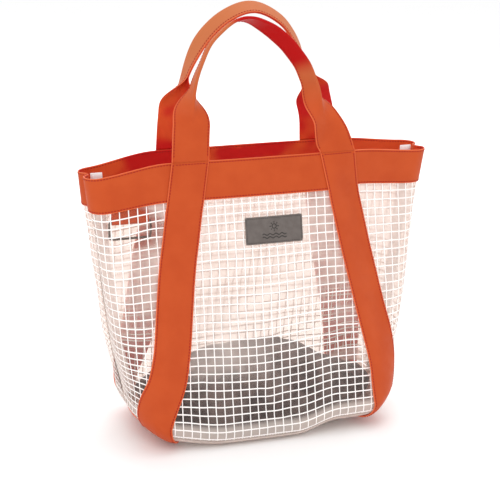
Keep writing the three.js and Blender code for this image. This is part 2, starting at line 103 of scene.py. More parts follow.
# Thicknesses of the sheet, threads and tape, and the thread grid.
FILM = 0.7
THREAD_WIDTH = 1.6
UPRIGHT_WIDTH = 1.3
THREAD_THICK = 0.2
THREAD_PITCH = 10.5
TAPE = 1.6
TAPE_WIDTH = 45.0
GAP = 0.4
SHEET = 1.0
SEAM_CLEARANCE = 1.8
BAND_LOW = RIM_HEIGHT - TAPE_WIDTH
PANEL_TOP = box_mm("front_panel")[1][2]
# The straps: how far off the wall, where their middles lie, and how they sway.
STRAP_OFFSET = 1.0
STRAP_OVER_BAND = 2 * GAP + TAPE
STRAP_RIM_X = 92.0
STRAP_BASE_S = 152.0
STRAP_UNDER_X = 136.0
STRAP_LIFT_RUN = 14.0
STRAP_BEND_SHARE = 0.7
STRAP_TOP_ROWS = 20
STRAP_WALL_ROWS = 66
STRAP_TURN_ROWS = 9
STRAP_UNDER_ROWS = 26
LEFT_STRAP_SWAY = -8.0
RIGHT_STRAP_SWAY = 5.0
SWAY_MIDDLE = 90.0
SWAY_TOP = 240.0
# Where on the base's rounding the wall sheets start and the base sheet ends.
PANEL_START_TURN = math.radians(56)
BASE_END_TURN = math.radians(52)

# The handles: their lean, the fold into a grip between two heights, and twists between shares of the length.
HANDLE_LEAN = math.tan(math.radians(3.4))
FOLD_ANGLE = math.radians(90.4)
FRONT_FOLD_OVER = (42.0, 84.0)
BACK_FOLD_OVER = (50.0, 93.0)
FOOT_FOLLOWS_TO = 42.0
FOOT_UPRIGHT = 24.0
FOLD_RADIUS = 1.05
FRONT_ARM_TWIST = math.radians(-14)
FRONT_ARM_TWIST_ON = (0.18, 0.3)
FRONT_TWIST = math.radians(-44)
FRONT_TWIST_ON = (0.45, 0.6)
FRONT_TWIST_OFF = (0.84, 0.98)
BACK_TWIST = math.radians(-27)
BACK_TWIST_ON = (0.2, 0.34)
BACK_TWIST_OFF = (0.66, 0.8)

# The tapes' red stitches, and the two lines they run along.
STITCH_INSET = 2.2
SEWN_LINES = np.array([STITCH_INSET - TAPE_WIDTH / 2, TAPE_WIDTH / 2 - STITCH_INSET])
STITCH_PITCH = 3.6
STITCH_LENGTH = 2.3
STITCH_WIDTH = 1.15


# ---- numbers ----
def smooth(x, low, high):
    t = np.clip((np.asarray(x, float) - low) / (high - low), 0, 1)
    return t * t * (3 - 2 * t)


def mix(a, b, t):
    return a + (b - a) * t


def unit(v):
    return v / np.maximum(np.linalg.norm(v, axis=-1, keepdims=True), 1e-9)


def ripple(points, scale, seed=0.0):
    """Smooth noise between about -1 and 1 at each point, with features about scale apart."""
    flat = np.asarray(points, float).reshape(-1, 3) / scale + seed
    return np.array([noise.noise(p) for p in flat]).reshape(np.shape(points)[:-1])


# ---- the bag's outer surface, as in the CAD ----
def plan_at(z, inset=0.0):
    """The outline's measures at height z, set in by inset: how far its front, corner and end runs reach."""
    t = np.clip((np.asarray(z, float) - WALL_Z) / (RIM_HEIGHT - WALL_Z), 0, 1)
    bulge = WALL_BULGE * np.sin(np.pi * t)
    half_width = mix(BASE_HALF_WIDTH, RIM_HALF_WIDTH, t) + bulge
    half_depth = mix(BASE_HALF_DEPTH, RIM_HALF_DEPTH, t) + bulge
    corner = mix(BASE_CORNER, RIM_CORNER, t)
    bow = mix(BASE_BOW, RIM_BOW, t)
    end_run = half_depth - bow - corner
    fold = GUSSET_FOLD * t * t
    arc = (corner - inset) * math.pi / 2
    front = half_width - corner
    end = np.hypot(end_run, fold)
    return SimpleNamespace(
        t=t, front=front, corner=corner - inset, full_corner=corner, bow=bow,
        half_depth=half_depth - inset, end_run=end_run, fold=fold, arc=arc, end=end,
        length=front + arc + end,
    )


def plan_point(plan, s):
    """x, y and the outward normal on the front half, at distance s from its middle."""
    reach = np.abs(s)
    k = reach / plan.front
    slope = 2 * plan.bow * k / plan.front
    size = np.hypot(slope, 1)
    angle = (reach - plan.front) / plan.corner
    along_end = np.clip((reach - plan.front - plan.arc) / plan.end, 0, 1)
    fold_in = plan.fold * smooth(along_end, 0, 1)
    on_front = reach <= plan.front
    on_arc = reach <= plan.front + plan.arc

    def pick(front, arc, end):
        return np.where(on_front, front, np.where(on_arc, arc, end))

    x = pick(reach, plan.front + plan.corner * np.sin(angle), plan.front + plan.corner - fold_in)
    y = pick(-plan.half_depth + plan.bow * k * k,
             -plan.end_run - plan.corner * np.cos(angle),
             -plan.end_run * (1 - along_end))
    nx = pick(slope / size, np.sin(angle), 1.0)
    ny = pick(-1 / size, -np.cos(angle), 0.0)
    hand = np.where(np.asarray(s) < 0, -1.0, 1.0)
    return x * hand, y, nx * hand, ny


def rim_drop(x, t):
    reach = (np.abs(x) - RIM_DROP_START) / (RIM_HALF_WIDTH - RIM_DROP_START)
    drop = np.where(x < 0, LEFT_RIM_DROP, RIGHT_RIM_DROP)
    return drop * t * t * smooth(reach, 0, 1)


def base_lift(x, z=0.0):
    reach = np.abs(x)
    end = np.where(x < 0, smooth(reach, *LEFT_LIFT_X), smooth(reach, *RIGHT_LIFT_X))
    rise = BASE_LIFT * end + CORNER_LIFT * smooth(reach, *CORNER_LIFT_X)
    return rise * (1 - smooth(z, 0, BASE_LIFT_HEIGHT))


def strap_centre(z, hand):
    """Where each strap's middle lies on the wall, measured from the middle of the front."""
    down = (RIM_HEIGHT - np.asarray(z, float)) / (RIM_HEIGHT - WALL_Z)
    sway = smooth(z, WALL_Z, SWAY_MIDDLE) * (1 - smooth(z, SWAY_MIDDLE, SWAY_TOP))
    reach = np.where(np.asarray(hand) < 0, LEFT_STRAP_SWAY, RIGHT_STRAP_SWAY)
    return mix(STRAP_RIM_X, STRAP_BASE_S, np.clip(down, 0, 1)) + reach * sway


def recess(s, z, y, plan):
    """How far the front wall is drawn back below the rim, from its right strap outwards."""
    past = (s - strap_centre(z, 1)) / (TAPE_WIDTH / 2 + RECESS_SOFTNESS)
    top = np.clip((RIM_HEIGHT - z) / TAPE_WIDTH, 0, 1)
    depth = RECESS * smooth(past, -1, 1) * top * smooth(z, *RECESS_LOW)
    return depth * np.maximum(np.abs(y) - RECESS_SEAM_HOLD, 0) / (plan.half_depth - RECESS_SEAM_HOLD)


def wall(s, z, offset, face=1):
    """Points on the wall at s along it and height z. face is 1 for the front and -1 for the back."""
    s, z, offset = np.broadcast_arrays(*(np.asarray(v, float) for v in (s, z, offset)))
    plan = plan_at(z)
    x, y, nx, ny = plan_point(plan, s)
    height = z - rim_drop(x, plan.t) + base_lift(x, z)
    back = recess(s, z, y, plan) if face > 0 else 0.0
    return np.stack([x + nx * offset, face * (y + ny * offset + back), height], -1)


def rounding(s, turn, offset, face=1):
    """Points on the rounding between wall and base: turn 0 is the base, a quarter turn is the wall."""
    s, turn, offset = np.broadcast_arrays(*(np.asarray(v, float) for v in (s, turn, offset)))
    plan = plan_at(np.full(s.shape, WALL_Z), BASE_ROUNDING * (1 - np.sin(turn)))
    x, y, nx, ny = plan_point(plan, s)
    out = np.sin(turn) * offset
    z = BASE_ROUNDING * (1 - np.cos(turn))
    height = z - np.cos(turn) * offset + base_lift(x, z)
    return np.stack([x + nx * out, face * (y + ny * out), height], -1)


# One run of distance up the body: negative on the rounding, then the wall from WALL_Z up.
def body_point(s, z, offset, face=1):
    """As wall, but a height under WALL_Z goes on round the rounding towards the base."""
    s, z, offset = np.broadcast_arrays(*(np.asarray(v, float) for v in (s, z, offset)))
    turn = math.pi / 2 - np.clip((WALL_Z - z) / BASE_ROUNDING, 0, math.pi / 2)
    low = rounding(s, turn, offset, face)
    high = wall(s, np.maximum(z, WALL_Z), offset, face)
    return np.where((z < WALL_Z)[..., None], low, high)


# ---- meshes ----
def placed(name, data):
    thing = bpy.data.objects.new(name, data)
    bpy.context.scene.collection.objects.link(thing)
    return thing


def mesh_object(name, points, faces, surfaces, material_index=None, cloth=None):
    """A smooth-shaded mesh object from points in millimetres."""
    points = np.asarray(points, float).reshape(-1, 3)
    mesh = bpy.data.meshes.new(name)
    mesh.from_pydata((points * MM).tolist(), [], [tuple(f) for f in faces])
    for surface in surfaces:
        mesh.materials.append(surface)
    if material_index is not None:
        mesh.polygons.foreach_set("material_index", np.asarray(material_index, np.int32))
    mesh.polygons.foreach_set("use_smooth", np.ones(len(mesh.polygons), bool))
    if cloth is not None:
        attribute = mesh.attributes.new("cloth", "FLOAT_VECTOR", "POINT")
        attribute.data.foreach_set("vector", np.asarray(cloth, np.float32).ravel())
    mesh.validate()
    mesh.update()
    return placed(name, mesh)


def grid_faces(rows, columns, close_columns=False):
    index = np.arange(rows * columns).reshape(rows, columns)
    if close_columns:
        index = np.concatenate([index, index[:, :1]], 1)
    a, b = index[:-1, :-1], index[:-1, 1:]
    c, d = index[1:, 1:], index[1:, :-1]
    return np.stack([a, b, c, d], -1).reshape(-1, 4)


def closed_rings(rings, first, last):
    """Points and faces of a closed skin: rings of points, and a fan to one point at each end."""
    rings = np.asarray(rings)
    count = rings.shape[1]
    points = np.concatenate([rings.reshape(-1, 3), [first], [last]])
    low, high, end = len(points) - 2, len(points) - 1, (len(rings) - 1) * count
    faces = [tuple(f) for f in grid_faces(len(rings), count, True)]
    for i in range(count):
        j = (i + 1) % count
        faces += [(low, j, i), (high, end + i, end + j)]
    return points, faces


def shell(outer, inner):
    """Points, faces and face kinds (0 outer, 1 inner, 2 edge) of a closed sheet between two grids."""
    rows, columns = outer.shape[:2]
    count = rows * columns
    index = np.arange(count).reshape(rows, columns)
    rim = np.concatenate([index[0], index[1:, -1], index[-1, -2::-1], index[-2:0:-1, 0]])
    after = np.roll(rim, -1)
    top = grid_faces(rows, columns)
    bottom = top[:, ::-1] + count
    side = np.stack([after, rim, rim + count, after + count], -1)
    points = np.concatenate([outer.reshape(-1, 3), inner.reshape(-1, 3)])
    faces = np.concatenate([top, bottom, side])
    kinds = np.repeat([0, 1, 2], [len(top), len(bottom), len(side)])
    corner = points[faces[:, 0]]
    volume = 0.0
    for i, j in ((1, 2), (2, 3)):
        volume += (corner * np.cross(points[faces[:, i]], points[faces[:, j]])).sum()
    if volume < 0:
        faces = faces[:, ::-1]
    return points, faces, kinds


def normals_of(grid):
    across = np.gradient(grid, axis=1)
    along = np.gradient(grid, axis=0)
    return unit(np.cross(along, across))


EDGE_STOPS = (0.0, 0.1, 0.35, 0.8)
EDGE_CLEAR = 1.6
EDGE_ROUND = 0.8
EDGE_THINNING = 0.88


def across_stops(width, plain, middle=()):
    """Places across a tape, close together at its two rounded edges."""
    half = width / 2
    edge = [half - stop for stop in EDGE_STOPS]
    inner = np.linspace(-(half - EDGE_CLEAR), half - EDGE_CLEAR, plain)
    return np.array(sorted({round(v, 4) for v in [*(-e for e in edge), *edge, *inner, *middle]}))


def swept_tape(name, middle, normal, across, along, surfaces):
    """A tape with rounded edges, round a grid of middle points: rows along it, columns across it."""
    edge = np.abs(across).max() - np.abs(across)
    round_off = np.clip(1 - edge / EDGE_ROUND, 0, 1)
    half = TAPE / 2 * np.sqrt(1 - EDGE_THINNING * round_off ** 2)
    lift = normal * half[None, :, None]
    points, faces, kinds = shell(middle + lift, middle - lift)
    flat = np.stack(np.broadcast_arrays(along[:, None], across[None, :], 0.0), -1).reshape(-1, 3)
    return mesh_object(name, points, faces, surfaces, kinds, np.concatenate([flat, flat]))


def tape_piece(name, middle, across, along, outward, surfaces):
    """A tape whose coated face looks the way outward does, and the normals of its middle."""
    normal = normals_of(middle)
    if (normal * outward).sum() < 0:
        normal = -normal
    return swept_tape(name, middle, normal, across, along, surfaces), normal


def run_length(path):
    return np.concatenate([[0], np.cumsum(np.linalg.norm(np.diff(path, axis=0), axis=1))])


def at_places(places, run, values):
    return np.stack([np.interp(places, run, values[:, i]) for i in range(3)], -1)


STITCH_RINGS = np.array([(-0.5, 0.35), (-0.4, 0.85), (-0.15, 1.0), (0.15, 1.0), (0.4, 0.85), (0.5, 0.35)])
STITCH_FLATNESS = 0.7
STITCH_RISE = 0.05
STITCH_SIDES = 6


def stitches(name, rows, surface, length=STITCH_LENGTH, pitch=STITCH_PITCH, width=STITCH_WIDTH):
    """One mesh of short thread loops. Each row is a path and the outward normals along it."""
    angles = 2 * math.pi * np.arange(STITCH_SIDES) / STITCH_SIDES
    along = np.repeat(STITCH_RINGS[:, 0], STITCH_SIDES) * length
    size = np.repeat(STITCH_RINGS[:, 1], STITCH_SIDES) * width / 2
    beside = np.tile(np.cos(angles), len(STITCH_RINGS)) * size
    above = np.tile(np.sin(angles), len(STITCH_RINGS)) * size * STITCH_FLATNESS + STITCH_RISE * width
    clouds = []
    for path, normal in rows:
        run = run_length(path)
        count = max(1, int((run[-1] - length) / pitch))
        places = (run[-1] - (count - 1) * pitch) / 2 + pitch * np.arange(count)
        centre = at_places(places, run, path)
        up = unit(at_places(places, run, normal))
        ahead = unit(at_places(places + 0.5, run, path) - at_places(places - 0.5, run, path))
        side = unit(np.cross(up, ahead))
        parts = ((ahead, along), (side, beside), (up, above))
        clouds.append(centre[:, None] + sum(axis[:, None] * reach[None, :, None] for axis, reach in parts))
    cloud = np.concatenate(clouds)
    count = cloud.shape[1]
    one = [tuple(f) for f in grid_faces(len(STITCH_RINGS), STITCH_SIDES, True)]
    one += [tuple(range(STITCH_SIDES))[::-1], tuple(range(count - STITCH_SIDES, count))]
    faces = [tuple(v + i * count for v in face) for i in range(len(cloud)) for face in one]
    return mesh_object(name, cloud, faces, [surface])


LENS = np.array([(-1, 0), (-0.6, 1), (0.6, 1), (1, 0), (0.6, -1), (-0.6, -1)])


def ribbons(name, runs, surface, width=THREAD_WIDTH, thick=THREAD_THICK):
    """One mesh of flat threads. Each run is a path and the normals of the surface it lies in."""
    points, faces, start = [], [], 0
    for path, normal in runs:
        ahead = unit(np.gradient(path, axis=0))
        side = unit(np.cross(normal, ahead))
        section = (side[:, None] * LENS[None, :, :1] * width / 2
                   + normal[:, None] * LENS[None, :, 1:] * thick / 2)
        points.append((path[:, None] + section).reshape(-1, 3))
        count = len(points[-1])
        faces += [tuple(f + start) for f in grid_faces(len(path), len(LENS), True)]
        faces.append(tuple(start + np.arange(len(LENS))[::-1]))
        faces.append(tuple(start + count - len(LENS) + np.arange(len(LENS))))
        start += count
    return mesh_object(name, np.concatenate(points), faces, [surface])


def finish_piece(piece, body, slot, *nodes):
    if nodes:
        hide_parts(*nodes)
    if body:
        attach(piece, body)
    return piece


# ---- materials ----
def linear(red, green, blue):
    return tuple((v / 255) ** 2.2 for v in (red, green, blue)) + (1.0,)


class Surface:
    """A small helper that adds nodes to one material."""

    def __init__(self, name, roughness=0.5, specular=0.5, **sockets):
        self.material = bpy.data.materials.new(name)
        self.material.use_nodes = True
        self.nodes = self.material.node_tree.nodes
        self.links = self.material.node_tree.links
        self.shader = self.nodes["Principled BSDF"]
        self.output = self.nodes["Material Output"]
        self.set(self.shader, Roughness=roughness, **{"Specular IOR Level": specular}, **sockets)

    def give(self, socket, value):
        """Link another node's output to a socket, or set the socket's plain value."""
        if isinstance(value, bpy.types.NodeSocket):
            self.links.new(value, socket)
        else:
            socket.default_value = value

    def set(self, node, **values):
        for key, value in values.items():
            self.give(node.inputs[key], value)

    def add(self, kind, **values):
        node = self.nodes.new(kind)
        self.set(node, **values)
        return node

    def paint(self, colour):
        self.set(self.shader, **{"Base Color": colour})

    def place(self):
        """Where a point is, in metres, at rest."""
        return self.add("ShaderNodeTexCoord").outputs["Object"]

    def cloth(self):
        """Millimetres along and across the cloth."""
        node = self.add("ShaderNodeAttribute")
        node.attribute_name = "cloth"
        return node.outputs["Vector"]

    def noise(self, vector, scale, detail=2.0, roughness=0.5):
        node = self.add("ShaderNodeTexNoise", Vector=vector, Scale=scale, Detail=detail, Roughness=roughness)
        return node.outputs["Fac"]

    def patches(self, vector, scale, detail, low, high, start=0.0, end=1.0):
        """Noise spread out between two values: soft patches."""
        return self.between(self.noise(vector, scale, detail), low, high, start, end)

    def math(self, operation, a, b=0.0):
        node = self.nodes.new("ShaderNodeMath")
        node.operation = operation
        self.give(node.inputs[0], a)
        self.give(node.inputs[1], b)
        return node.outputs[0]

    def times(self, a, b):
        return self.math("MULTIPLY", a, b)

    def apart(self, a, b):
        return self.math("ABSOLUTE", self.math("SUBTRACT", a, b))

    def wave(self, value, pitch):
        """A sine wave that repeats every pitch millimetres."""
        return self.math("SINE", self.times(value, 2 * math.pi / pitch))

    def between(self, value, low, high, start=0.0, end=1.0):
        node = self.nodes.new("ShaderNodeMapRange")
        node.interpolation_type = "SMOOTHSTEP"
        self.links.new(value, node.inputs["Value"])
        for key, number in (("From Min", low), ("From Max", high), ("To Min", start), ("To Max", end)):
            node.inputs[key].default_value = number
        return node.outputs["Result"]

    def blend(self, factor, a, b):
        node = self.nodes.new("ShaderNodeMix")
        node.data_type = "RGBA"
        for socket, value in ((node.inputs[0], factor), (node.inputs[6], a), (node.inputs[7], b)):
            self.give(socket, value)
        return node.outputs[2]

    def split(self, vector):
        node = self.add("ShaderNodeSeparateXYZ", Vector=vector)
        return node.outputs[0], node.outputs[1], node.outputs[2]

    def bump(self, height, strength, distance):
        node = self.add("ShaderNodeBump", Height=height, Strength=strength, Distance=distance)
        self.links.new(node.outputs["Normal"], self.shader.inputs["Normal"])
        return node.outputs["Normal"]

    def mixed(self, share, first, second):
        """Two shaders mixed, with this share of the second."""
        node = self.nodes.new("ShaderNodeMixShader")
        for socket, value in zip(node.inputs, (share, first, second)):
            self.give(socket, value)
        return node.outputs[0]

    def show(self, shader):
        self.links.new(shader, self.output.inputs["Surface"])


def woven(surface, vector, pitch):
    """A plain weave's height, from millimetres along and across."""
    along, across, _ = surface.split(vector)
    return surface.times(surface.wave(along, pitch), surface.wave(across, pitch))


COAT_COLOURS = ((188, 75, 35), (195, 81, 39))
# The handles' pale colour and the heights it sets in over are painted light, for their upper part lit from
# above.
HANDLE_PAINTED_LIGHT = (193, 114, 72)
HANDLE_PAINTED_LIGHT_FROM = (0.39, 0.46)
# The deep red arm colour and the stretch of tape it covers are painted shade, for the front handle's arm
# turned away from the light.
ARM_PAINTED_SHADE = (178, 0, 6)
ARM_PAINTED_SHADE_ON = (166.0, 184.0)
ARM_PAINTED_SHADE_OFF = (274.0, 300.0)
WORN_EDGE = (220, 104, 64)
# The groove colour darkens the tape along each sewing line: painted shade in the crease.
GROOVE_SHADE = (190, 44, 24)
GROOVE_SHADE_STRENGTH = 0.22
GROOVE_DEPTH = 1.5
TAPE_WEAVE = 1.1


def coated_tape(name="coated_tape", pale=0.0, arm_shade=0.0):
    """The coated face: satin, faintly grained, paler at its two worn edges, creased along the sewing with
    painted shade in the crease; on the handles, painted light towards the top and painted shade on a stretch
    of the front arm.
    """
    surface = Surface(name, 0.5, 0.16)
    place, cloth = surface.place(), surface.cloth()
    along, across, _ = surface.split(cloth)
    reach = surface.math("ABSOLUTE", across)
    face = surface.blend(surface.patches(place, 28.0, 3.0, 0.3, 0.7), *(linear(*c) for c in COAT_COLOURS))
    # Painted light: the handle's tape turns paler towards the top, standing in for light from above.
    if pale:
        _, _, height = surface.split(place)
        high = surface.between(height, *HANDLE_PAINTED_LIGHT_FROM, 0.0, pale)
        face = surface.blend(high, face, linear(*HANDLE_PAINTED_LIGHT))
    # Painted shade: a stretch of the front handle's arm is made deep red, standing in for shade on its
    # underside.
    if arm_shade:
        arm = surface.times(surface.between(along, *ARM_PAINTED_SHADE_ON, 0.0, arm_shade),
                            surface.between(along, *ARM_PAINTED_SHADE_OFF, 1.0, 0.0))
        face = surface.blend(arm, face, linear(*ARM_PAINTED_SHADE))
    edge = surface.between(reach, TAPE_WIDTH / 2 - 1.2, TAPE_WIDTH / 2 - 0.3)
    face = surface.blend(edge, face, linear(*WORN_EDGE))
    # Painted shade: the tape is darkened in the groove along each sewing line.
    groove = surface.between(surface.apart(reach, TAPE_WIDTH / 2 - STITCH_INSET), 0.3, 1.1, 1.0, 0.0)
    surface.paint(surface.blend(surface.times(groove, GROOVE_SHADE_STRENGTH), face, linear(*GROOVE_SHADE)))
    grain = surface.times(surface.noise(place, 2200.0, 2.0), 0.5)
    weave = surface.times(woven(surface, cloth, TAPE_WEAVE), 0.2)
    height = surface.math("ADD", grain, weave)
    surface.bump(surface.math("SUBTRACT", height, surface.times(groove, GROOVE_DEPTH)), 0.35, 0.0002)
    surface.set(surface.shader, Roughness=surface.patches(place, 120.0, 3.0, 0.3, 0.7, 0.46, 0.58))
    return surface.material


def ribbed_tape(name, red, orange, rib_trough_shade):
    """The uncoated face: redder, partly as painted shade, with fine ribs along the tape and painted shade in
    their troughs.
    """
    surface = Surface(name, 0.6, 0.25)
    place, cloth = surface.place(), surface.cloth()
    along, across, _ = surface.split(cloth)
    ribs = surface.wave(across, 1.5)
    ticks = surface.wave(along, 0.9)
    face = surface.blend(surface.patches(place, 16.0, 2.0, 0.42, 0.6), linear(*red), linear(*orange))
    # Painted shade: the troughs between the ribs are darkened towards the rib colour.
    surface.paint(surface.blend(surface.between(ribs, -1.0, 0.2, 0.35, 0.0), face, linear(*rib_trough_shade)))
    surface.bump(surface.math("ADD", ribs, surface.times(ticks, 0.35)), 0.5, 0.0002)
    return surface.material


def tape_edge():
    """The tape's side, where the weave shows through the coating."""
    surface = Surface("tape_edge", 0.55, 0.3)
    along, _, _ = surface.split(surface.cloth())
    ticks = surface.wave(along, TAPE_WEAVE)
    pale = surface.between(ticks, -1.0, 1.0, 0.0, 0.5)
    surface.paint(surface.blend(pale, linear(222, 112, 76), linear(205, 84, 48)))
    surface.bump(ticks, 0.3, 0.0001)
    return surface.material


def thread(name, dark, light):
    """Twisted sewing thread."""
    surface = Surface(name, 0.5, 0.3)
    twist = surface.noise(surface.place(), 2600.0, 1.0)
    surface.paint(surface.blend(twist, linear(*dark), linear(*light)))
    surface.bump(twist, 0.3, 0.0001)
    return surface.material


FILM_WAVE = (14.0, 3.0)
FILM_BUMP = (0.25, 0.004)
FILM_LIT = 0.7
FILM_SKIN = 0.03
# The milky share of the sheet, low down and high up, and the heights (mm) it changes between.
FILM_SOLID = (0.03, 0.44)
FILM_CLEARER_BELOW = (50.0, 235.0)
# A cloudier stretch of the walls: its share, the heights it sets in over, its middle and its reach (mm).
CLOUD = 0.38
CLOUD_OVER = (64.0, 112.0)
CLOUD_MIDDLE = -64.0
CLOUD_REACH = (44.0, 84.0)
# The sheet is doubled at the base seam: its share there, and the heights it fades over (mm).
SEAM_SOLID = 0.6
SEAM_SOLID_OVER = (22.0, 33.0)
# The sheet is clear in front of the hanging ring: its place, the clear part's edge and its squash (metres).
RING_SPOT = (-0.165, 0.272)
RING_CLEAR = (0.030, 0.044)
RING_SPOT_SQUASH = 1.5


def film_skin():
    """The sheet's clear outer layer, over the threads: almost only its gloss is seen."""
    surface = Surface("film_skin", 0.1, 0.5)
    surface.paint(linear(252, 249, 248))
    surface.bump(surface.noise(surface.place(), *FILM_WAVE), *FILM_BUMP)
    clear = surface.add("ShaderNodeBsdfTransparent", Color=linear(255, 254, 253))
    surface.show(surface.mixed(FILM_SKIN, clear.outputs[0], surface.shader.outputs[0]))
    return surface.material


def milkiness(surface, place):
    """How milky the sheet is: more towards the rim and at the base seam, less round the hanging ring."""
    x, y, height = surface.split(place)
    along, up, _ = surface.split(surface.cloth())
    patches = surface.patches(place, 22.0, 3.0, 0.35, 0.65, 0.75, 1.3)
    share = surface.times(surface.between(up, *FILM_CLEARER_BELOW, *FILM_SOLID), patches)
    cloud = surface.times(surface.between(up, *CLOUD_OVER, 0.0, CLOUD),
                          surface.between(surface.apart(along, CLOUD_MIDDLE), *CLOUD_REACH, 1.0, 0.0))
    share = surface.math("MAXIMUM", share, surface.times(cloud, patches))
    share = surface.math("MAXIMUM", share, surface.between(up, *SEAM_SOLID_OVER, SEAM_SOLID, 0.0))
    beside = surface.math("SUBTRACT", x, RING_SPOT[0])
    above = surface.times(surface.math("SUBTRACT", height, RING_SPOT[1]), RING_SPOT_SQUASH)
    squared = surface.math("ADD", surface.times(beside, beside), surface.times(above, above))
    past_ring = surface.between(surface.math("SQRT", squared), *RING_CLEAR)
    behind = surface.between(y, -0.02, 0.0)
    return surface.times(share, surface.math("MAXIMUM", past_ring, behind))


def clear_film():
    """The sheet's inner layer: see-through, with a milky share that lets light through."""
    surface = Surface("clear_film", 0.12, 0.5)
    place = surface.place()
    surface.paint(linear(246, 233, 226))
    normal = surface.bump(surface.noise(place, *FILM_WAVE), *FILM_BUMP)
    milk = surface.add("ShaderNodeBsdfTranslucent", Color=linear(245, 231, 224), Normal=normal)
    clear = surface.add("ShaderNodeBsdfTransparent", Color=linear(248, 241, 237))
    cloudy = surface.mixed(FILM_LIT, milk.outputs[0], surface.shader.outputs[0])
    surface.show(surface.mixed(milkiness(surface, place), clear.outputs[0], cloudy))
    return surface.material


# The white threads' emission is a painted glow that brightens them though they are no lamp.
THREAD_PAINTED_GLOW = 0.09


def white_thread():
    """The coated white threads of the grid, with a faint painted glow standing in for light on them."""
    surface = Surface("white_thread", 0.35, 0.5, **{"Emission Color": linear(255, 244, 238)})
    surface.set(surface.shader, **{"Emission Strength": THREAD_PAINTED_GLOW})
    place = surface.place()
    tone = surface.noise(place, 90.0, 2.0)
    surface.paint(surface.blend(tone, linear(251, 248, 247), linear(254, 253, 253)))
    surface.bump(surface.noise(place, 1500.0, 1.0), 0.3, 0.0002)
    return surface.material


def white_binding():
    surface = Surface("white_binding_tape", 0.6, 0.3)
    weave = woven(surface, surface.cloth(), 1.0)
    tone = surface.between(weave, -1.0, 1.0)
    surface.paint(surface.blend(tone, linear(238, 232, 230), linear(252, 250, 249)))
    surface.bump(weave, 0.4, 0.0002)
    return surface.material


def grey_label():
    surface = Surface("label_grey", 0.55, 0.35)
    place = surface.place()
    tone = surface.patches(place, 160.0, 3.0, 0.3, 0.7)
    surface.paint(surface.blend(tone, linear(98, 90, 86), linear(107, 99, 95)))
    surface.bump(surface.noise(place, 1800.0, 3.0), 0.3, 0.0002)
    return surface.material


def dark_print():
    surface = Surface("label_print", 0.6, 0.3)
    tone = surface.noise(surface.place(), 900.0, 2.0)
    surface.paint(surface.blend(tone, linear(48, 44, 43), linear(66, 62, 60)))
    return surface.material


def ring_paint():
    surface = Surface("ring_paint", 0.35, 0.5, Metallic=0.3)
    place = surface.place()
    tone = surface.patches(place, 300.0, 3.0, 0.3, 0.7)
    surface.paint(surface.blend(tone, linear(92, 84, 78), linear(112, 104, 98)))
    surface.bump(surface.noise(place, 1200.0, 2.0), 0.15, 0.0001)
    return surface.material


def pouch_cloth():
    """Charcoal plain-weave cloth with a fine crumple, painted darker in its hollows and paler on its ridges
    as painted shade and light, and soft paler patches.
    """
    surface = Surface("pouch_cloth_surface", 0.75, 0.25, **{"Sheen Weight": 0.15})
    place = surface.place()
    scaled = surface.add("ShaderNodeVectorMath")
    scaled.operation = "SCALE"
    surface.links.new(place, scaled.inputs[0])
    scaled.inputs["Scale"].default_value = 1 / MM
    x, y, z = surface.split(scaled.outputs[0])
    weave = surface.times(surface.wave(surface.math("ADD", x, y), 0.9), surface.wave(z, 0.9))
    crumple = surface.noise(place, 110.0, 5.0, 0.6)
    # Painted shade: the colour darkens where the crumple is low and pales where it is high.
    face = surface.blend(surface.between(crumple, 0.32, 0.68), linear(54, 43, 43), linear(88, 74, 72))
    # Soft paler patches of noise, not placed on the pouch's folds.
    folds = surface.patches(place, 24.0, 2.0, 0.46, 0.62)
    surface.paint(surface.blend(surface.times(folds, 0.45), face, linear(132, 118, 114)))
    surface.bump(surface.math("ADD", surface.times(weave, 0.012), crumple), 0.6, 0.004)
    return surface.material


def pale_floor():
    surface = Surface("floor_paper", 0.9, 0.1)
    tone = surface.noise(surface.place(), 3.0, 2.0)
    surface.paint(surface.blend(tone, linear(250, 250, 250), linear(252, 252, 252)))
    return surface.material


# The ribbed face comes in two copies: a darker, redder one as painted shade for the bands, handles and ring
# tab, and a paler one as painted light for the straps' backs, which are lit only through the sheet.
RIBBED_IN_SHADE = ribbed_tape("ribbed_tape", (208, 28, 25), (230, 92, 44), (164, 16, 18))
STRAP_BACK_LIT = ribbed_tape("strap_back_painted_light", (246, 84, 54), (250, 122, 84), (226, 60, 44))
EDGE = tape_edge()
TAPE_FACES = [coated_tape(), RIBBED_IN_SHADE, EDGE]
STRAP_FACES = [TAPE_FACES[0], STRAP_BACK_LIT, EDGE]
FRONT_HANDLE_FACES = [coated_tape("front_handle_coat", 0.6, 1.0), RIBBED_IN_SHADE, EDGE]
BACK_HANDLE_FACES = [coated_tape("back_handle_coat", 0.85), RIBBED_IN_SHADE, EDGE]
RED_THREAD = thread("red_thread", (138, 6, 6), (172, 16, 12))
PALE_THREAD = thread("pale_thread", (236, 230, 226), (252, 250, 248))
GREY_THREAD = thread("grey_thread", (56, 52, 50), (78, 72, 70))
CLEAR_FILM = clear_film()
FILM_FACES = [film_skin(), CLEAR_FILM, CLEAR_FILM]
WHITE_THREAD = white_thread()
WHITE_TAPE = white_binding()
LABEL_GREY = grey_label()
LABEL_PRINT = dark_print()
RING_PAINT = ring_paint()
POUCH_CLOTH = pouch_cloth()


# ---- how the soft sheet hangs ----
# Each set of waves is a list of height, size and seed for ripple.
RELIEF_WAVES = [(1.6, 70.0, 0.0), (0.5, 24.0, 5.0)]
SIDEWAYS_WAVES = [(1.3, 90.0, 3.0), (0.4, 26.0, 9.0)]
RISE_WAVES = [(2.2, 110.0, 13.0), (0.4, 26.0, 19.0)]
RELIEF_SEED = 40.0
THREAD_SEED = 90.0
RELIEF_FREE = (6.0, 26.0)
RELIEF_BELOW_BAND = 40.0
THREADS_FREE = (12.0, 40.0)
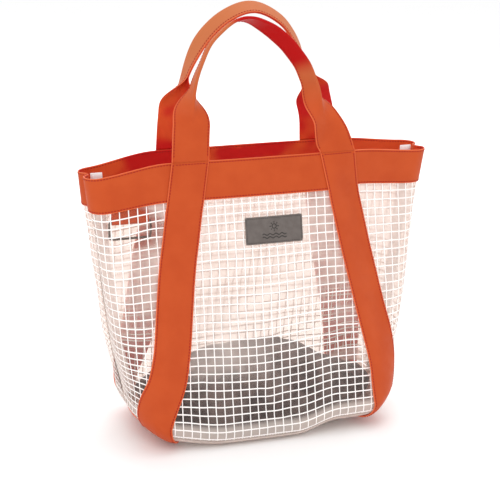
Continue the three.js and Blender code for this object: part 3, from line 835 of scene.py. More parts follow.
# The front grid's rows sag in the middle, dip at the crease by the base and rise at the ring.
SAG = 3.2
SAG_MIDDLE = -18.0
SAG_REACH = 62.0
SAG_FROM = (30.0, 90.0)
SAG_TO = (170.0, 270.0)
CREASE_DIP = 2.4
CREASE_DIP_LINE = ((-10, 66), (10, 10))
CREASE_DIP_REACH = 12.0
RING_RISE = 3.6
RING_RISE_AT = (-143.0, 263.0)
RING_RISE_REACH = (20.0, 9.0)
# The threads' depths are shares of the sheet's thickness.
UPRIGHT_DEPTH = 0.36
LEVEL_DEPTH = 0.64
LEVEL_PITCH = THREAD_PITCH * 0.985
LEVEL_START = 2.5
THREAD_END = 0.8
# Further along the wall than either seam, where wall() gives the seam itself.
FAR = 1e4
# Each crease is a line between two places on the wall (s, z), with its depth and width.
FRONT_CREASES = [
    ((-16, 66), (6, 14), 2.6, 9),
    ((-94, 92), (-78, 46), 1.8, 7),
    ((30, 150), (70, 96), 1.0, 14),
    ((-60, 210), (-20, 150), 1.0, 18),
]
BACK_CREASES = [
    ((50, 80), (70, 20), 2.0, 9),
    ((-70, 120), (-40, 50), 1.8, 10),
    ((10, 220), (-20, 140), 1.2, 16),
]


def near_line(s, z, start, end):
    """How far each place is from the line from start to end."""
    a, b = np.array(start, float), np.array(end, float)
    run = b - a
    k = np.clip(((s - a[0]) * run[0] + (z - a[1]) * run[1]) / (run @ run), 0, 1)
    return np.hypot(s - a[0] - k * run[0], z - a[1] - k * run[1])


def relief(s, z, face):
    """How far the sheet is pushed, in millimetres: always inward, and never under a strap or band."""
    s, z = np.broadcast_arrays(np.asarray(s, float), np.asarray(z, float))
    grid = np.stack([s, z, np.full(s.shape, RELIEF_SEED * face)], -1)
    push = sum(high * (0.5 + 0.5 * ripple(grid, size, seed)) for high, size, seed in RELIEF_WAVES)
    for start, end, depth, width in FRONT_CREASES if face > 0 else BACK_CREASES:
        push = push + depth * np.exp(-(near_line(s, z, start, end) / width) ** 2)
    clear = smooth(np.abs(np.abs(s) - strap_centre(z, s)), TAPE_WIDTH / 2, TAPE_WIDTH)
    below_band = 1 - smooth(z, BAND_LOW - RELIEF_BELOW_BAND, BAND_LOW)
    return -push * clear * below_band * smooth(z, *RELIEF_FREE)


def thread_shift(s, z, face):
    """How far the grid's rows and columns wander on the sheet."""
    s, z = np.broadcast_arrays(np.asarray(s, float), np.asarray(z, float))
    grid = np.stack([s, z, np.full(s.shape, THREAD_SEED * face)], -1)
    sideways, rise = (sum(high * ripple(grid, size, seed) for high, size, seed in waves)
                      for waves in (SIDEWAYS_WAVES, RISE_WAVES))
    if face > 0:
        sag = SAG * np.exp(-((s - SAG_MIDDLE) / SAG_REACH) ** 2)
        rise = rise - sag * smooth(z, *SAG_FROM) * (1 - smooth(z, *SAG_TO))
        rise = rise - CREASE_DIP * np.exp(-(near_line(s, z, *CREASE_DIP_LINE) / CREASE_DIP_REACH) ** 2)
        past = [((v - at) / reach) ** 2 for v, at, reach in zip((s, z), RING_RISE_AT, RING_RISE_REACH)]
        rise = rise + RING_RISE * np.exp(-past[0] - past[1])
    fade = smooth(z, *THREADS_FREE)
    return sideways * fade, rise * fade


def film_point(s, z, depth, face):
    return body_point(s, z, relief(s, z, face) - depth, face)


def film_normal(s, z, face):
    step = 1.5
    across = film_point(s + step, z, 0, face) - film_point(s - step, z, 0, face)
    up = film_point(s, z + step, 0, face) - film_point(s, z - step, 0, face)
    return unit(np.cross(across, up)) * face


def row_stops(z, front=34, arc=12, end=5, short_by=SEAM_CLEARANCE):
    """Distances along the wall at one height, evenly matched from row to row."""
    inset = BASE_ROUNDING * (1 - math.sin(math.pi / 2 - max(0.0, WALL_Z - z) / BASE_ROUNDING))
    plan = plan_at(z, inset)
    right = np.concatenate([
        np.linspace(0, plan.front, front + 1),
        np.linspace(plan.front, plan.front + plan.arc, arc + 1)[1:],
        np.linspace(plan.front + plan.arc, plan.length - short_by, end + 1)[1:],
    ])
    return np.concatenate([-right[:0:-1], right])


def low_at(turn):
    """The height that body_point takes for a turn of the base's rounding."""
    return WALL_Z - BASE_ROUNDING * (math.pi / 2 - turn)


PANEL_LOW = low_at(PANEL_START_TURN)
# Each place on a seam's turned-in flange: outside distance and depth, then inside distance and depth.
FLANGE = [(0.45, 0.6, 0.9, 1.35), (1.6, 0.15, 1.6, 0.85), (8.0, 0.15, 8.0, 0.85), (15.0, 0.15, 15.0, 0.85)]


def film_panel(name, face, node):
    """Half of the body's clear sheet, with its two side edges turned in as seam flanges."""
    heights = np.concatenate([np.linspace(PANEL_LOW, WALL_Z, 5)[:-1], np.linspace(WALL_Z, PANEL_TOP, 68)])
    outer, inner, cloth = [], [], []
    flanges = np.array(FLANGE).T
    for z in heights:
        s = row_stops(z)
        ends = [s[:1]] * len(FLANGE) + [s] + [s[-1:]] * len(FLANGE)
        cloth.append([(place, z, 0.0) for place in np.concatenate(ends)])
        right, left = body_point(np.array([FAR, -FAR]), z, 0, face)
        for rows, depth, (inward, along_y) in ((outer, 0, flanges[:2]), (inner, FILM, flanges[2:])):
            right_edge, left_edge = (
                np.stack([corner[0] - hand * inward, -face * along_y, np.full(len(inward), corner[2])], -1)
                for hand, corner in ((1, right), (-1, left))
            )
            rows.append(np.concatenate([left_edge[::-1], film_point(s, z, depth, face), right_edge]))
    points, faces, kinds = shell(np.array(outer), np.array(inner))
    piece = mesh_object(name, points, faces, FILM_FACES, kinds, np.array(cloth + cloth))
    return finish_piece(piece, BODY, "clear_mesh", node)


def thread_grid(name, face):
    """The grid of flat threads inside the sheet: upright ones and level ones, each at its own depth."""
    uprights, levels = [], []
    seam = plan_at(PANEL_TOP).length - SEAM_CLEARANCE - 1
    count = int(seam / THREAD_PITCH)
    heights = np.linspace(PANEL_LOW + 0.6, PANEL_TOP - 0.6, 76)
    ends = plan_at(heights).length - SEAM_CLEARANCE - THREAD_END
    for k in range(-count, count + 1):
        place = (k + 0.5 * (face < 0)) * THREAD_PITCH
        inside = np.abs(place) < ends
        if inside.sum() < 3:
            continue
        z = heights[inside]
        side, _ = thread_shift(place, z, face)
        s = np.clip(place + side, -ends[inside], ends[inside])
        uprights.append((film_point(s, z, FILM * UPRIGHT_DEPTH, face), film_normal(s, z, face)))
    level = PANEL_LOW + LEVEL_START
    while level < PANEL_TOP - 2:
        stops = row_stops(level, 30, 10, 4, SEAM_CLEARANCE + THREAD_END)
        _, rise = thread_shift(stops, level, face)
        z = np.clip(level + rise, PANEL_LOW + THREAD_END, PANEL_TOP - THREAD_END)
        levels.append((film_point(stops, z, FILM * LEVEL_DEPTH, face), film_normal(stops, z, face)))
        level += LEVEL_PITCH
    finish_piece(ribbons(f"{name}_upright", uprights, WHITE_THREAD, UPRIGHT_WIDTH), BODY, "clear_mesh")
    return finish_piece(ribbons(f"{name}_level", levels, WHITE_THREAD), BODY, "clear_mesh")


# ---- the base ----
BASE_EDGE_PLACES = 1500


def base_outline():
    """The front half of the base's edge at turn 0, and the distances along the wall it stands for."""
    plan = plan_at(WALL_Z, BASE_ROUNDING)
    s = np.linspace(-plan.length, plan.length, BASE_EDGE_PLACES)
    return s, rounding(s, 0.0, 0.0, 1)[:, :2]


BASE_S, BASE_EDGE = base_outline()


FLOOR_RINGS = (0.08, 0.2, 0.34, 0.48, 0.6, 0.72, 0.84, 0.94)
BASE_THREAD_STEP = 3.5
BASE_THREAD_END = 1.2


def base_surface(x, y, offset):
    """A flat place on the cut base sheet, laid on the base or turned up round its edge."""
    front = np.stack([x, -np.abs(y)], -1)
    gap = np.linalg.norm(front[:, None] - BASE_EDGE[None], axis=-1)
    nearest = gap.argmin(1)
    distance = gap.min(1)
    s = BASE_S[nearest]
    plan = plan_at(WALL_Z, BASE_ROUNDING)
    _, _, nx, ny = plan_point(plan, s)
    outside = ((front - BASE_EDGE[nearest]) * np.stack([nx, ny], -1)).sum(-1) > 0
    turn = np.clip(distance / BASE_ROUNDING, 0, BASE_END_TURN)
    face = np.where(y > 0, -1.0, 1.0)
    flat = np.stack([x, y, base_lift(x) - offset], -1)
    bent = rounding(s, turn, offset, 1)
    bent[:, 1] *= face
    reach = np.where(outside, distance, -distance)
    return np.where(outside[:, None], bent, flat), reach


def base_ring(s, plan, turn, offset):
    """The base sheet's closed outline at one turn of its rounding: front half, then back half."""
    rows = plan_at(WALL_Z, BASE_ROUNDING * (1 - math.sin(turn)))
    scaled = np.sign(s) * np.interp(
        np.abs(s), [0, plan.front, plan.front + plan.arc, plan.length],
        [0, rows.front, rows.front + rows.arc, rows.length])
    half = rounding(scaled, turn, offset, 1)
    return np.concatenate([half, half[-2:0:-1] * np.array([1, -1, 1])])


def base_film():
    """The bottom sheet, flat on the base and turned up round its edge."""
    plan = plan_at(WALL_Z, BASE_ROUNDING)
    share = np.concatenate([
        np.linspace(0, plan.front, 20),
        np.linspace(plan.front, plan.front + plan.arc, 14)[1:],
        np.linspace(plan.front + plan.arc, plan.length, 5)[1:],
    ])
    s = np.concatenate([-share[:0:-1], share])
    edge = base_ring(s, plan, 0.0, 0.0)

    def layer(offset):
        rows = []
        for k in FLOOR_RINGS:
            x, y = edge[:, 0] * k, edge[:, 1] * k
            rows.append(np.stack([x, y, base_lift(x) - offset], -1))
        return rows + [base_ring(s, plan, turn, offset) for turn in np.linspace(0, BASE_END_TURN, 6)]

    points, faces = closed_rings(layer(0.0) + layer(-FILM)[::-1], (0, 0, 0), (0, 0, FILM))
    piece = mesh_object("base_film", points, faces, [CLEAR_FILM], None, np.zeros((len(points), 3)))
    return finish_piece(piece, BODY, "clear_mesh", "base_panel")


def base_threads():
    """The base sheet's grid: lines across the base, each kept where it is still on the sheet."""
    reach_x, reach_y = BASE_HALF_WIDTH, BASE_HALF_DEPTH
    limit = BASE_ROUNDING * BASE_END_TURN - BASE_THREAD_END
    lines = []
    for k in range(-int(reach_y / THREAD_PITCH), int(reach_y / THREAD_PITCH) + 1):
        x = np.arange(-reach_x, reach_x + 1, BASE_THREAD_STEP)
        lines.append((x, np.full(x.shape, k * THREAD_PITCH), LEVEL_DEPTH))
    for k in range(-int(reach_x / THREAD_PITCH), int(reach_x / THREAD_PITCH) + 1):
        y = np.arange(-reach_y, reach_y + 1, BASE_THREAD_STEP)
        lines.append((np.full(y.shape, k * THREAD_PITCH), y, UPRIGHT_DEPTH))
    runs = []
    for x, y, depth in lines:
        middle, reach = base_surface(x, y, -FILM * depth)
        top, _ = base_surface(x, y, -FILM)
        low, _ = base_surface(x, y, 0.0)
        keep = reach < limit
        if keep.sum() >= 3:
            first, last = np.flatnonzero(keep)[[0, -1]]
            run = slice(first, last + 1)
            runs.append((middle[run], unit(low - top)[run]))
    return finish_piece(ribbons("base_threads", runs, WHITE_THREAD), BODY, "clear_mesh")


BASE_SEAM_HEIGHT = PANEL_LOW + 2.0
# Stitches other than the tapes' red ones: length, pitch and width.
BASE_SEAM_STITCH = (2.4, 3.6, 0.5)
BINDING_STITCH = (2.4, 3.4, 0.45)
LABEL_STITCH = (1.9, 2.7, 0.7)


def base_seam():
    """White stitches where the walls meet the base, just above the seam."""
    rows = []
    for face in (1, -1):
        s = row_stops(BASE_SEAM_HEIGHT)
        z = np.full(s.shape, BASE_SEAM_HEIGHT)
        rows.append((body_point(s, z, 0.0, face), film_normal(s, z, face)))
    piece = stitches("base_seam_stitches", rows, PALE_THREAD, *BASE_SEAM_STITCH)
    return finish_piece(piece, BODY, "clear_mesh")


# ---- tapes ----
def band(name, face, node):
    """Half of the rim's tape, sewn along its top and bottom outside and its top inside."""
    across = across_stops(TAPE_WIDTH, 9)
    heights = BAND_LOW + TAPE_WIDTH / 2 + across
    stops = np.stack([row_stops(z, 40, 14, 6) for z in heights], 1)
    middle = wall(stops, heights[None, :], GAP + TAPE / 2, face)
    _, _, nx, ny = plan_point(plan_at(heights[None, :]), stops)
    outward = np.stack([nx, face * ny, np.zeros_like(nx)], -1)
    along = stops[:, len(heights) // 2]
    piece, _ = tape_piece(name, middle, across, along, outward, TAPE_FACES)
    finish_piece(piece, BODY, "orange_tape", node)
    top, bottom = RIM_HEIGHT - STITCH_INSET, BAND_LOW + STITCH_INSET
    rows = []
    for z, side in ((top, 1), (bottom, 1), (top, -1)):
        s = row_stops(z, 60, 14, 6, SEAM_CLEARANCE + 1)
        offset = GAP + TAPE if side > 0 else GAP
        path = wall(s, z, offset, face)
        rows.append((path, unit(wall(s, z, offset + side, face) - path)))
    return finish_piece(stitches(f"{name}_stitches", rows, RED_THREAD), BODY, "orange_tape")


STRAP_WAVE = (0.9, 1.1, 52.0)
STRAP_HELD_LOW = (30.0, 70.0)
STRAP_HELD_HIGH = (BAND_LOW - 60, BAND_LOW - 10)


def strap_offset(z):
    over = smooth(z, BAND_LOW - STRAP_LIFT_RUN, BAND_LOW)
    return mix(STRAP_OFFSET, STRAP_OVER_BAND, over)


def strap_bulge(z, w, hand, face):
    """The tape stands off the soft wall a little between where it is held."""
    middle, high, size = STRAP_WAVE
    grid = np.stack([w * 0.6, z, np.full(z.shape, 31.0 * hand + 57.0 * face)], -1)
    held = smooth(z, *STRAP_HELD_LOW) * (1 - smooth(z, *STRAP_HELD_HIGH))
    return (middle + high * ripple(grid, size)) * held


def strap_middle(hand, across, lift):
    """The strap's surface, lift above its inner face: down the front, under the base, up the back."""
    heights = np.concatenate([
        np.linspace(RIM_HEIGHT, BAND_LOW - STRAP_LIFT_RUN, STRAP_TOP_ROWS)[:-1],
        np.linspace(BAND_LOW - STRAP_LIFT_RUN, WALL_Z, STRAP_WALL_ROWS),
    ])
    w, z = np.meshgrid(across, heights)
    plan = plan_at(WALL_Z)
    on_arc = max(0.0, STRAP_BASE_S - float(plan.front))
    halves = []
    for face in (1, -1):
        offset = strap_offset(z) + lift + strap_bulge(z, w, hand, face)
        rows = [wall(hand * (strap_centre(z, hand) + w), z, offset, face)]
        for turn in np.linspace(math.pi / 2, 0, STRAP_TURN_ROWS)[1:]:
            inset = BASE_ROUNDING * (1 - math.sin(turn))
            centre = plan.front + on_arc * (plan.full_corner - inset) / plan.full_corner
            rows.append(rounding(hand * (centre + across), turn, STRAP_OFFSET + lift, face)[None])
        halves.append(np.concatenate(rows))
    front, back = halves[0], halves[1][::-1]
    start = front[-1]
    under = []
    for k in np.linspace(0, 1, STRAP_UNDER_ROWS)[1:-1]:
        blend = smooth(1 - abs(1 - 2 * k), 0, STRAP_BEND_SHARE)
        x = mix(start[:, 0], hand * (STRAP_UNDER_X + across), blend)
        y = mix(start[:, 1], -start[:, 1], k)
        under.append(np.stack([x, y, base_lift(x) - STRAP_OFFSET - lift], -1))
    return np.concatenate([front, np.array(under), back])


def strap(name, hand, node):
    """One strap, sewn along both edges and across its two ends at the rim."""
    across = across_stops(TAPE_WIDTH, 11)
    middle = strap_middle(hand, across, TAPE / 2)
    outside = strap_middle(hand, across, TAPE / 2 + 1)
    along = run_length(middle[:, len(across) // 2])
    piece, normal = tape_piece(name, middle, across, along, outside - middle, STRAP_FACES)
    finish_piece(piece, BODY, "orange_tape", node)
    path = strap_middle(hand, SEWN_LINES, TAPE)
    rows = []
    for i, line in enumerate(SEWN_LINES):
        column = np.abs(across - line).argmin()
        rows.append((path[:, i], normal[:, column]))
    for face in (1, -1):
        place = hand * (STRAP_RIM_X + np.linspace(*SEWN_LINES, 20))
        row = wall(place, RIM_HEIGHT - STITCH_INSET, STRAP_OVER_BAND + TAPE, face)
        rows.append((row, np.tile([0.0, -face, 0.0], (len(row), 1))))
    return finish_piece(stitches(f"{name}_stitches", rows, RED_THREAD), BODY, "orange_tape")


# ---- handles ----
# Paths in each handle's own leaning plane: across the bag, and up from the rim.
FRONT_PATH = [
    (-STRAP_RIM_X, 0), (-89, 50), (-83, 86), (-60, 136), (-24, 161),
    (14, 145), (50, 106), (67, 63), (81, 29), (STRAP_RIM_X, 0),
]
BACK_PATH = [
    (-STRAP_RIM_X, 0), (-90, 36), (-84, 86), (-63, 133), (-34, 160), (-1, 170),
    (34, 154), (58, 122), (75, 80), (89, 36), (STRAP_RIM_X, 0),
]
HANDLE_START = 0.05
HANDLE_ROWS = 190
ARM_GAP = 0.5
SWAY_SIZE = 26.0
SWAY_FROM = (60.0, 100.0)


def smooth_path(points, count):
    """A centripetal Catmull-Rom curve through the points, with places evenly spaced along it."""
    p = np.array(points, float)
    p = np.concatenate([[2 * p[0] - p[1]], p, [2 * p[-1] - p[-2]]])
    dense = []
    for i in range(1, len(p) - 2):
        knots = [math.sqrt(np.linalg.norm(p[i + k] - p[i + k - 1])) for k in (0, 1, 2)]
        t1 = (p[i] - p[i - 1]) / knots[0] - (p[i + 1] - p[i - 1]) / (knots[0] + knots[1])
        t1 = (t1 + (p[i + 1] - p[i]) / knots[1]) * knots[1]
        t2 = (p[i + 1] - p[i]) / knots[1] - (p[i + 2] - p[i]) / (knots[1] + knots[2])
        t2 = (t2 + (p[i + 2] - p[i + 1]) / knots[2]) * knots[1]
        t = np.linspace(0, 1, 60, endpoint=False)[:, None]
        a = 2 * p[i] - 2 * p[i + 1] + t1 + t2
        b = -3 * p[i] + 3 * p[i + 1] - 2 * t1 - t2
        dense.append(a * t ** 3 + b * t ** 2 + t1 * t + p[i])
    dense = np.concatenate([*dense, p[-2:-1]])
    run = run_length(dense)
    places = np.linspace(0, run[-1], count)
    path = np.stack([np.interp(places, run, dense[:, i]) for i in (0, 1)], -1)
    return path, places


def turned(v, axis, angle):
    """v turned about a unit axis."""
    c, s = np.cos(angle)[:, None], np.sin(angle)[:, None]
    return v * c + np.cross(axis, v) * s + axis * (axis * v).sum(-1, keepdims=True) * (1 - c)


def fold_section(fold, w, lift):
    """Across and outward places on a tape folded by an angle about its middle line."""
    half = FOLD_RADIUS * math.pi / 2
    fold = np.maximum(fold, 1e-4)
    radius = half / fold
    reach = np.abs(w)
    on_bend = np.minimum(reach, half)
    angle = fold * on_bend / half
    past = np.maximum(reach - half, 0)
    x = radius * np.sin(angle) + past * np.cos(angle)
    y = -radius * (1 - np.cos(angle)) - past * np.sin(angle)
    x = x + lift * np.sin(angle)
    y = y + lift * np.cos(angle)
    return np.sign(w) * x, y


def handle_surface(path, face, twist, across, lift, wobble):
    """The handle's surface, lift above its middle: flat feet that fold over into a doubled grip."""
    flat, run = smooth_path(path, HANDLE_ROWS)
    u = run / run[-1]
    zero = np.zeros(len(u))
    height = flat[:, 1]
    upright = np.stack([zero, zero, np.where(u < 0.5, 1.0, -1.0)], -1)
    fold = FOLD_ANGLE * smooth(height, *(FRONT_FOLD_OVER if face > 0 else BACK_FOLD_OVER))
    p = np.stack([flat[:, 0], zero, height], -1)
    free = smooth(height, 0, FOOT_UPRIGHT)[:, None]
    tangent = unit(mix(upright, unit(np.gradient(p, axis=0)), free))
    angle = twist(u)
    side = turned(np.stack([-tangent[:, 2], zero, tangent[:, 0]], -1), tangent, angle)
    out = turned(np.tile([0.0, -1.0, 0.0], (len(u), 1)), tangent, angle)
    arm = (TAPE_WIDTH - TAPE - ARM_GAP) / 4
    p[:, 1] = arm * np.sin(fold)
    wander = ripple(np.stack([run, zero, zero + 77.0 * face], -1), SWAY_SIZE)
    sway = wobble * wander * smooth(height, *SWAY_FROM)
    x, y = fold_section(fold[:, None], across[None, :], lift)
    y = y + (arm * np.sin(fold))[:, None]
    local = p[:, None] + side[:, None] * (x + sway[:, None])[..., None] + out[:, None] * y[..., None]
    return place_on_rim(local, face), run


def place_on_rim(local, face):
    """From the handle's own plane to its place on the rim, with its feet following the rim's curve."""
    plan = plan_at(RIM_HEIGHT)
    _, here, _, _ = plan_point(plan, np.abs(local[..., 0]))
    _, there, _, _ = plan_point(plan, np.array(STRAP_RIM_X))
    hinge_y = face * (there - STRAP_OVER_BAND - TAPE / 2)
    follow = (here - there) * (1 - smooth(local[..., 2], 0, FOOT_FOLLOWS_TO))
    y = hinge_y + face * (local[..., 1] + local[..., 2] * HANDLE_LEAN + follow)
    return np.stack([local[..., 0], y, RIM_HEIGHT + HANDLE_START + local[..., 2]], -1)


def front_twist(u):
    twisted = smooth(u, *FRONT_TWIST_ON)
    arm = FRONT_ARM_TWIST * smooth(u, *FRONT_ARM_TWIST_ON) * (1 - twisted)
    return arm + FRONT_TWIST * twisted * (1 - smooth(u, *FRONT_TWIST_OFF))


def back_twist(u):
    return BACK_TWIST * smooth(u, *BACK_TWIST_ON) * (1 - smooth(u, *BACK_TWIST_OFF))


def handle(name, path, face, twist, wobble, surfaces, node):
    """One handle and its sewing, which turn from upright into their path over the first FOOT_UPRIGHT
    millimetres above the rim.
    """
    bend = np.linspace(-FOLD_RADIUS * math.pi / 2, FOLD_RADIUS * math.pi / 2, 9)
    across = across_stops(TAPE_WIDTH, 12, bend)
    middle, run = handle_surface(path, face, twist, across, 0.0, wobble)
    above, _ = handle_surface(path, face, twist, across, 0.5, wobble)
    piece = swept_tape(name, middle, unit(above - middle), across, run, surfaces)
    finish_piece(piece, None, "orange_tape", node)
    top, _ = handle_surface(path, face, twist, SEWN_LINES, TAPE / 2, wobble)
    under, _ = handle_surface(path, face, twist, SEWN_LINES, 0.0, wobble)
    rows = [(top[2:-2, i], unit(top - under)[2:-2, i]) for i in (0, 1)]
    sewing = finish_piece(stitches(f"{name}_stitches", rows, RED_THREAD), None, "orange_tape")
    for part in (piece, sewing):
        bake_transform(part)
    return piece


# ---- side seams ----
# The binding's folded section: distance in from the seam, and to the front or back of it.
BINDING_OUTSIDE = [(2.0, 1.2), (9.0, 1.2), (14.4, 1.2), (15.5, 0.85), (15.9, 0.0),
                   (15.5, -0.85), (14.4, -1.2), (9.0, -1.2), (2.0, -1.2)]
BINDING_INSIDE = [(2.0, -0.9), (9.0, -0.9), (14.6, -0.9), (15.25, -0.45),
                  (15.25, 0.45), (14.6, 0.9), (9.0, 0.9), (2.0, 0.9)]
BINDING_PROFILE = BINDING_OUTSIDE + BINDING_INSIDE
BINDING_WIDTH = 24.0
BINDING_SEWN = (7.0, 1.2)


def seam_binding(name, hand, node):
    """A woven tape folded round the two flanges of a side seam."""
    z = np.linspace(WALL_Z, RIM_HEIGHT, 61)
    seam = wall(np.full(z.shape, hand * FAR), z, 0.0)
    rings = np.stack([
        np.stack([seam[:, 0] - hand * d, np.full(len(z), y), seam[:, 2]], -1) for d, y in BINDING_PROFILE
    ], 1)
    if hand > 0:
        rings = rings[:, ::-1]
    count = len(BINDING_PROFILE)
    faces = [*grid_faces(len(z), count, True), *end_caps(len(z), count)]
    cloth = np.stack(np.broadcast_arrays(z[:, None], np.linspace(0, BINDING_WIDTH, count)[None], 0.0), -1)
    piece = mesh_object(name, rings.reshape(-1, 3), faces, [WHITE_TAPE], None, cloth.reshape(-1, 3))
    fix_normals(piece)
    finish_piece(piece, BODY, "white_binding", node)
    inset, depth = BINDING_SEWN
    rows = []
    for side in (1, -1):
        path = np.stack([seam[:-1, 0] - hand * inset, np.full(len(z) - 1, depth * side), seam[:-1, 2]], -1)
        rows.append((path, np.tile([0.0, side, 0.0], (len(path), 1))))
    sewing = stitches(f"{name}_stitches", rows, PALE_THREAD, *BINDING_STITCH)
    return finish_piece(sewing, BODY, "white_binding")


def end_caps(rows, count):
    """Quads that close both ends of a swept U, whose outside points come first and inside points last."""
    caps = []
    half = count // 2
    for start, flip in ((0, 1), ((rows - 1) * count, -1)):
        for i in range(half):
            quad = [start + i, start + i + 1, start + count - 2 - i, start + count - 1 - i]
            quad = list(dict.fromkeys(quad))
            if len(quad) >= 3:
                caps.append(tuple(quad[::flip]))
    return caps


def fix_normals(piece):
    work = bmesh.new()
    work.from_mesh(piece.data)
    bmesh.ops.recalc_face_normals(work, faces=work.faces)
    work.to_mesh(piece.data)
    work.free()


# ---- label ----
LABEL_LOW, LABEL_HIGH = box_mm("label_patch")
LABEL_MIDDLE = ((LABEL_LOW + LABEL_HIGH) / 2)[[0, 2]]
LABEL_SIZE = (72.0, 32.0)
LABEL_THICK = 1.0
LABEL_CORNER = 1.2
LABEL_BORDER = 1.9
LABEL_FACES = np.array([0.0, -1.0, 0.17])
PAD_ROUNDING = 0.3
PAD_RINGS = (0.3, 0.7, 0.94)
SUN_HEIGHT = 4.2
SUN_RADIUS = 2.6
SUN_RAYS = (4.0, 5.8)
WAVE_HALF_WIDTH = 15.0
WAVE_HEIGHTS = (-5.2, -8.8)
WAVE_SIZE = 0.9
WAVE_LENGTH = 7.5
PRINT_LINE = (1.1, 0.24)
PRINT_RISE = 0.06


def rounded_outline(half_width, half_height, radius, arc_steps=6, side_steps=10):
    """A rounded rectangle's points, counterclockwise from the right of the lower side."""
    points = []
    corners = [(1, -1, -90), (1, 1, 0), (-1, 1, 90), (-1, -1, 180)]
    for sx, sy, start in corners:
        for angle in np.radians(np.linspace(start, start + 90, arc_steps + 1)):
            points.append((sx * (half_width - radius) + radius * math.cos(angle),
                           sy * (half_height - radius) + radius * math.sin(angle)))
    ring = np.array(points + points[:1])
    run = run_length(ring)
    count = 4 * (arc_steps + side_steps)
    places = np.linspace(0, run[-1], count, endpoint=False)
    return np.stack([np.interp(places, run, ring[:, i]) for i in (0, 1)], -1)


def on_label(points, height):
    x = LABEL_MIDDLE[0] + points[:, 0]
    z = LABEL_MIDDLE[1] + points[:, 1]
    return wall(x, z, GAP + height, 1)


def raised_shape(name, outline, low, high, surface):
    """A closed pad with this outline about the label's middle, between two heights over the wall."""
    scales = (*PAD_RINGS, 1 - PAD_ROUNDING / np.abs(outline).max())
    rings = [on_label(outline * k, low) for k in scales]
    rings += [on_label(outline, low + k * (high - low)) for k in (0.25, 0.7)]
    rings += [on_label(outline * k, high) for k in (scales[-1], *PAD_RINGS[::-1])]
    middle = outline.mean(0)[None]
    points, faces = closed_rings(rings, on_label(middle, low)[0], on_label(middle, high)[0])
    piece = mesh_object(name, points, faces, [surface])
    fix_normals(piece)
    return piece


def label():
    """The grey patch, the sewing round its border and the printed motif."""
    half = np.array(LABEL_SIZE) / 2
    outline = rounded_outline(*half, LABEL_CORNER)
    patch = raised_shape("label_patch_leather", outline, 0.0, LABEL_THICK, LABEL_GREY)
    finish_piece(patch, BODY, "grey_label", "label_patch")
    border = rounded_outline(*(half - LABEL_BORDER), 0.8, 8, 20)
    path = on_label(np.concatenate([border, border[:1]]), LABEL_THICK)
    row = (path, np.tile(LABEL_FACES, (len(path), 1)))
    finish_piece(stitches("label_stitches", [row], GREY_THREAD, *LABEL_STITCH), BODY, "grey_label")
    label_motif()


def label_motif():
    """A plain sun over two waves, printed on the label."""
    angles = np.linspace(0, 2 * math.pi, 33)
    lines = [np.stack([SUN_RADIUS * np.cos(angles), SUN_HEIGHT + SUN_RADIUS * np.sin(angles)], -1)]
    for ray in np.radians(np.arange(0, 360, 45)):
        reach = np.linspace(*SUN_RAYS, 4)
        lines.append(np.stack([reach * math.cos(ray), SUN_HEIGHT + reach * math.sin(ray)], -1))
    x = np.linspace(-WAVE_HALF_WIDTH, WAVE_HALF_WIDTH, 70)
    for low in WAVE_HEIGHTS:
        lines.append(np.stack([x, low + WAVE_SIZE * np.sin(x * 2 * math.pi / WAVE_LENGTH)], -1))
    paths = [on_label(line, LABEL_THICK + PRINT_RISE) for line in lines]
    runs = [(path, np.tile(unit(LABEL_FACES), (len(path), 1))) for path in paths]
    return finish_piece(ribbons("label_motif", runs, LABEL_PRINT, *PRINT_LINE), BODY, "grey_label")


# ---- ring and its tab ----
RING_SIZE = (52.0, 24.0)
RING_WIRE = 2.6
RING_CORNER = 3.0
RING_SQUARENESS = 0.6
TAB_WIDTH = 44.0
TAB_LOOP = 2.5
TAB_NECK = 6.5
TAB_HANG = 16.5
TAB_OVERLAP = 12.0
RING_PIVOT = np.array(JOINTS["ring_swing"]["pos_m"]) / MM
ACROSS = np.array([1.0, 0.0, 0.0])


def ring():
    """A flat wire bent into a rounded rectangle, hanging by its top bar."""
    half_width, half_height = ((size - RING_WIRE) / 2 for size in RING_SIZE)
    path = rounded_outline(half_width, half_height, RING_CORNER, 8, 6)
    ahead = unit(np.roll(path, -1, 0) - np.roll(path, 1, 0))
    beside = np.stack([ahead[:, 1], -ahead[:, 0]], -1)
    angles = 2 * math.pi * np.arange(16) / 16
    turns = np.cos(angles), np.sin(angles)
    flat, thick = (np.sign(v) * np.abs(v) ** RING_SQUARENESS * RING_WIRE / 2 for v in turns)
    middle = RING_PIVOT - [0, 0, half_height]
    rings = []
    for aside, out in zip(flat, thick):
        spot = path + beside * aside
        y = np.full(len(spot), middle[1] + out)
        rings.append(np.stack([middle[0] + spot[:, 0], y, middle[2] + spot[:, 1]], -1))
    grid = np.stack(rings, 1)
    faces = grid_faces(len(grid) + 1, len(angles), True) % (len(path) * len(angles))
    piece = mesh_object("ring_wire", grid.reshape(-1, 3), faces, [RING_PAINT])
    fix_normals(piece)
    return finish_piece(piece, "ring", "grey_ring", "ring")


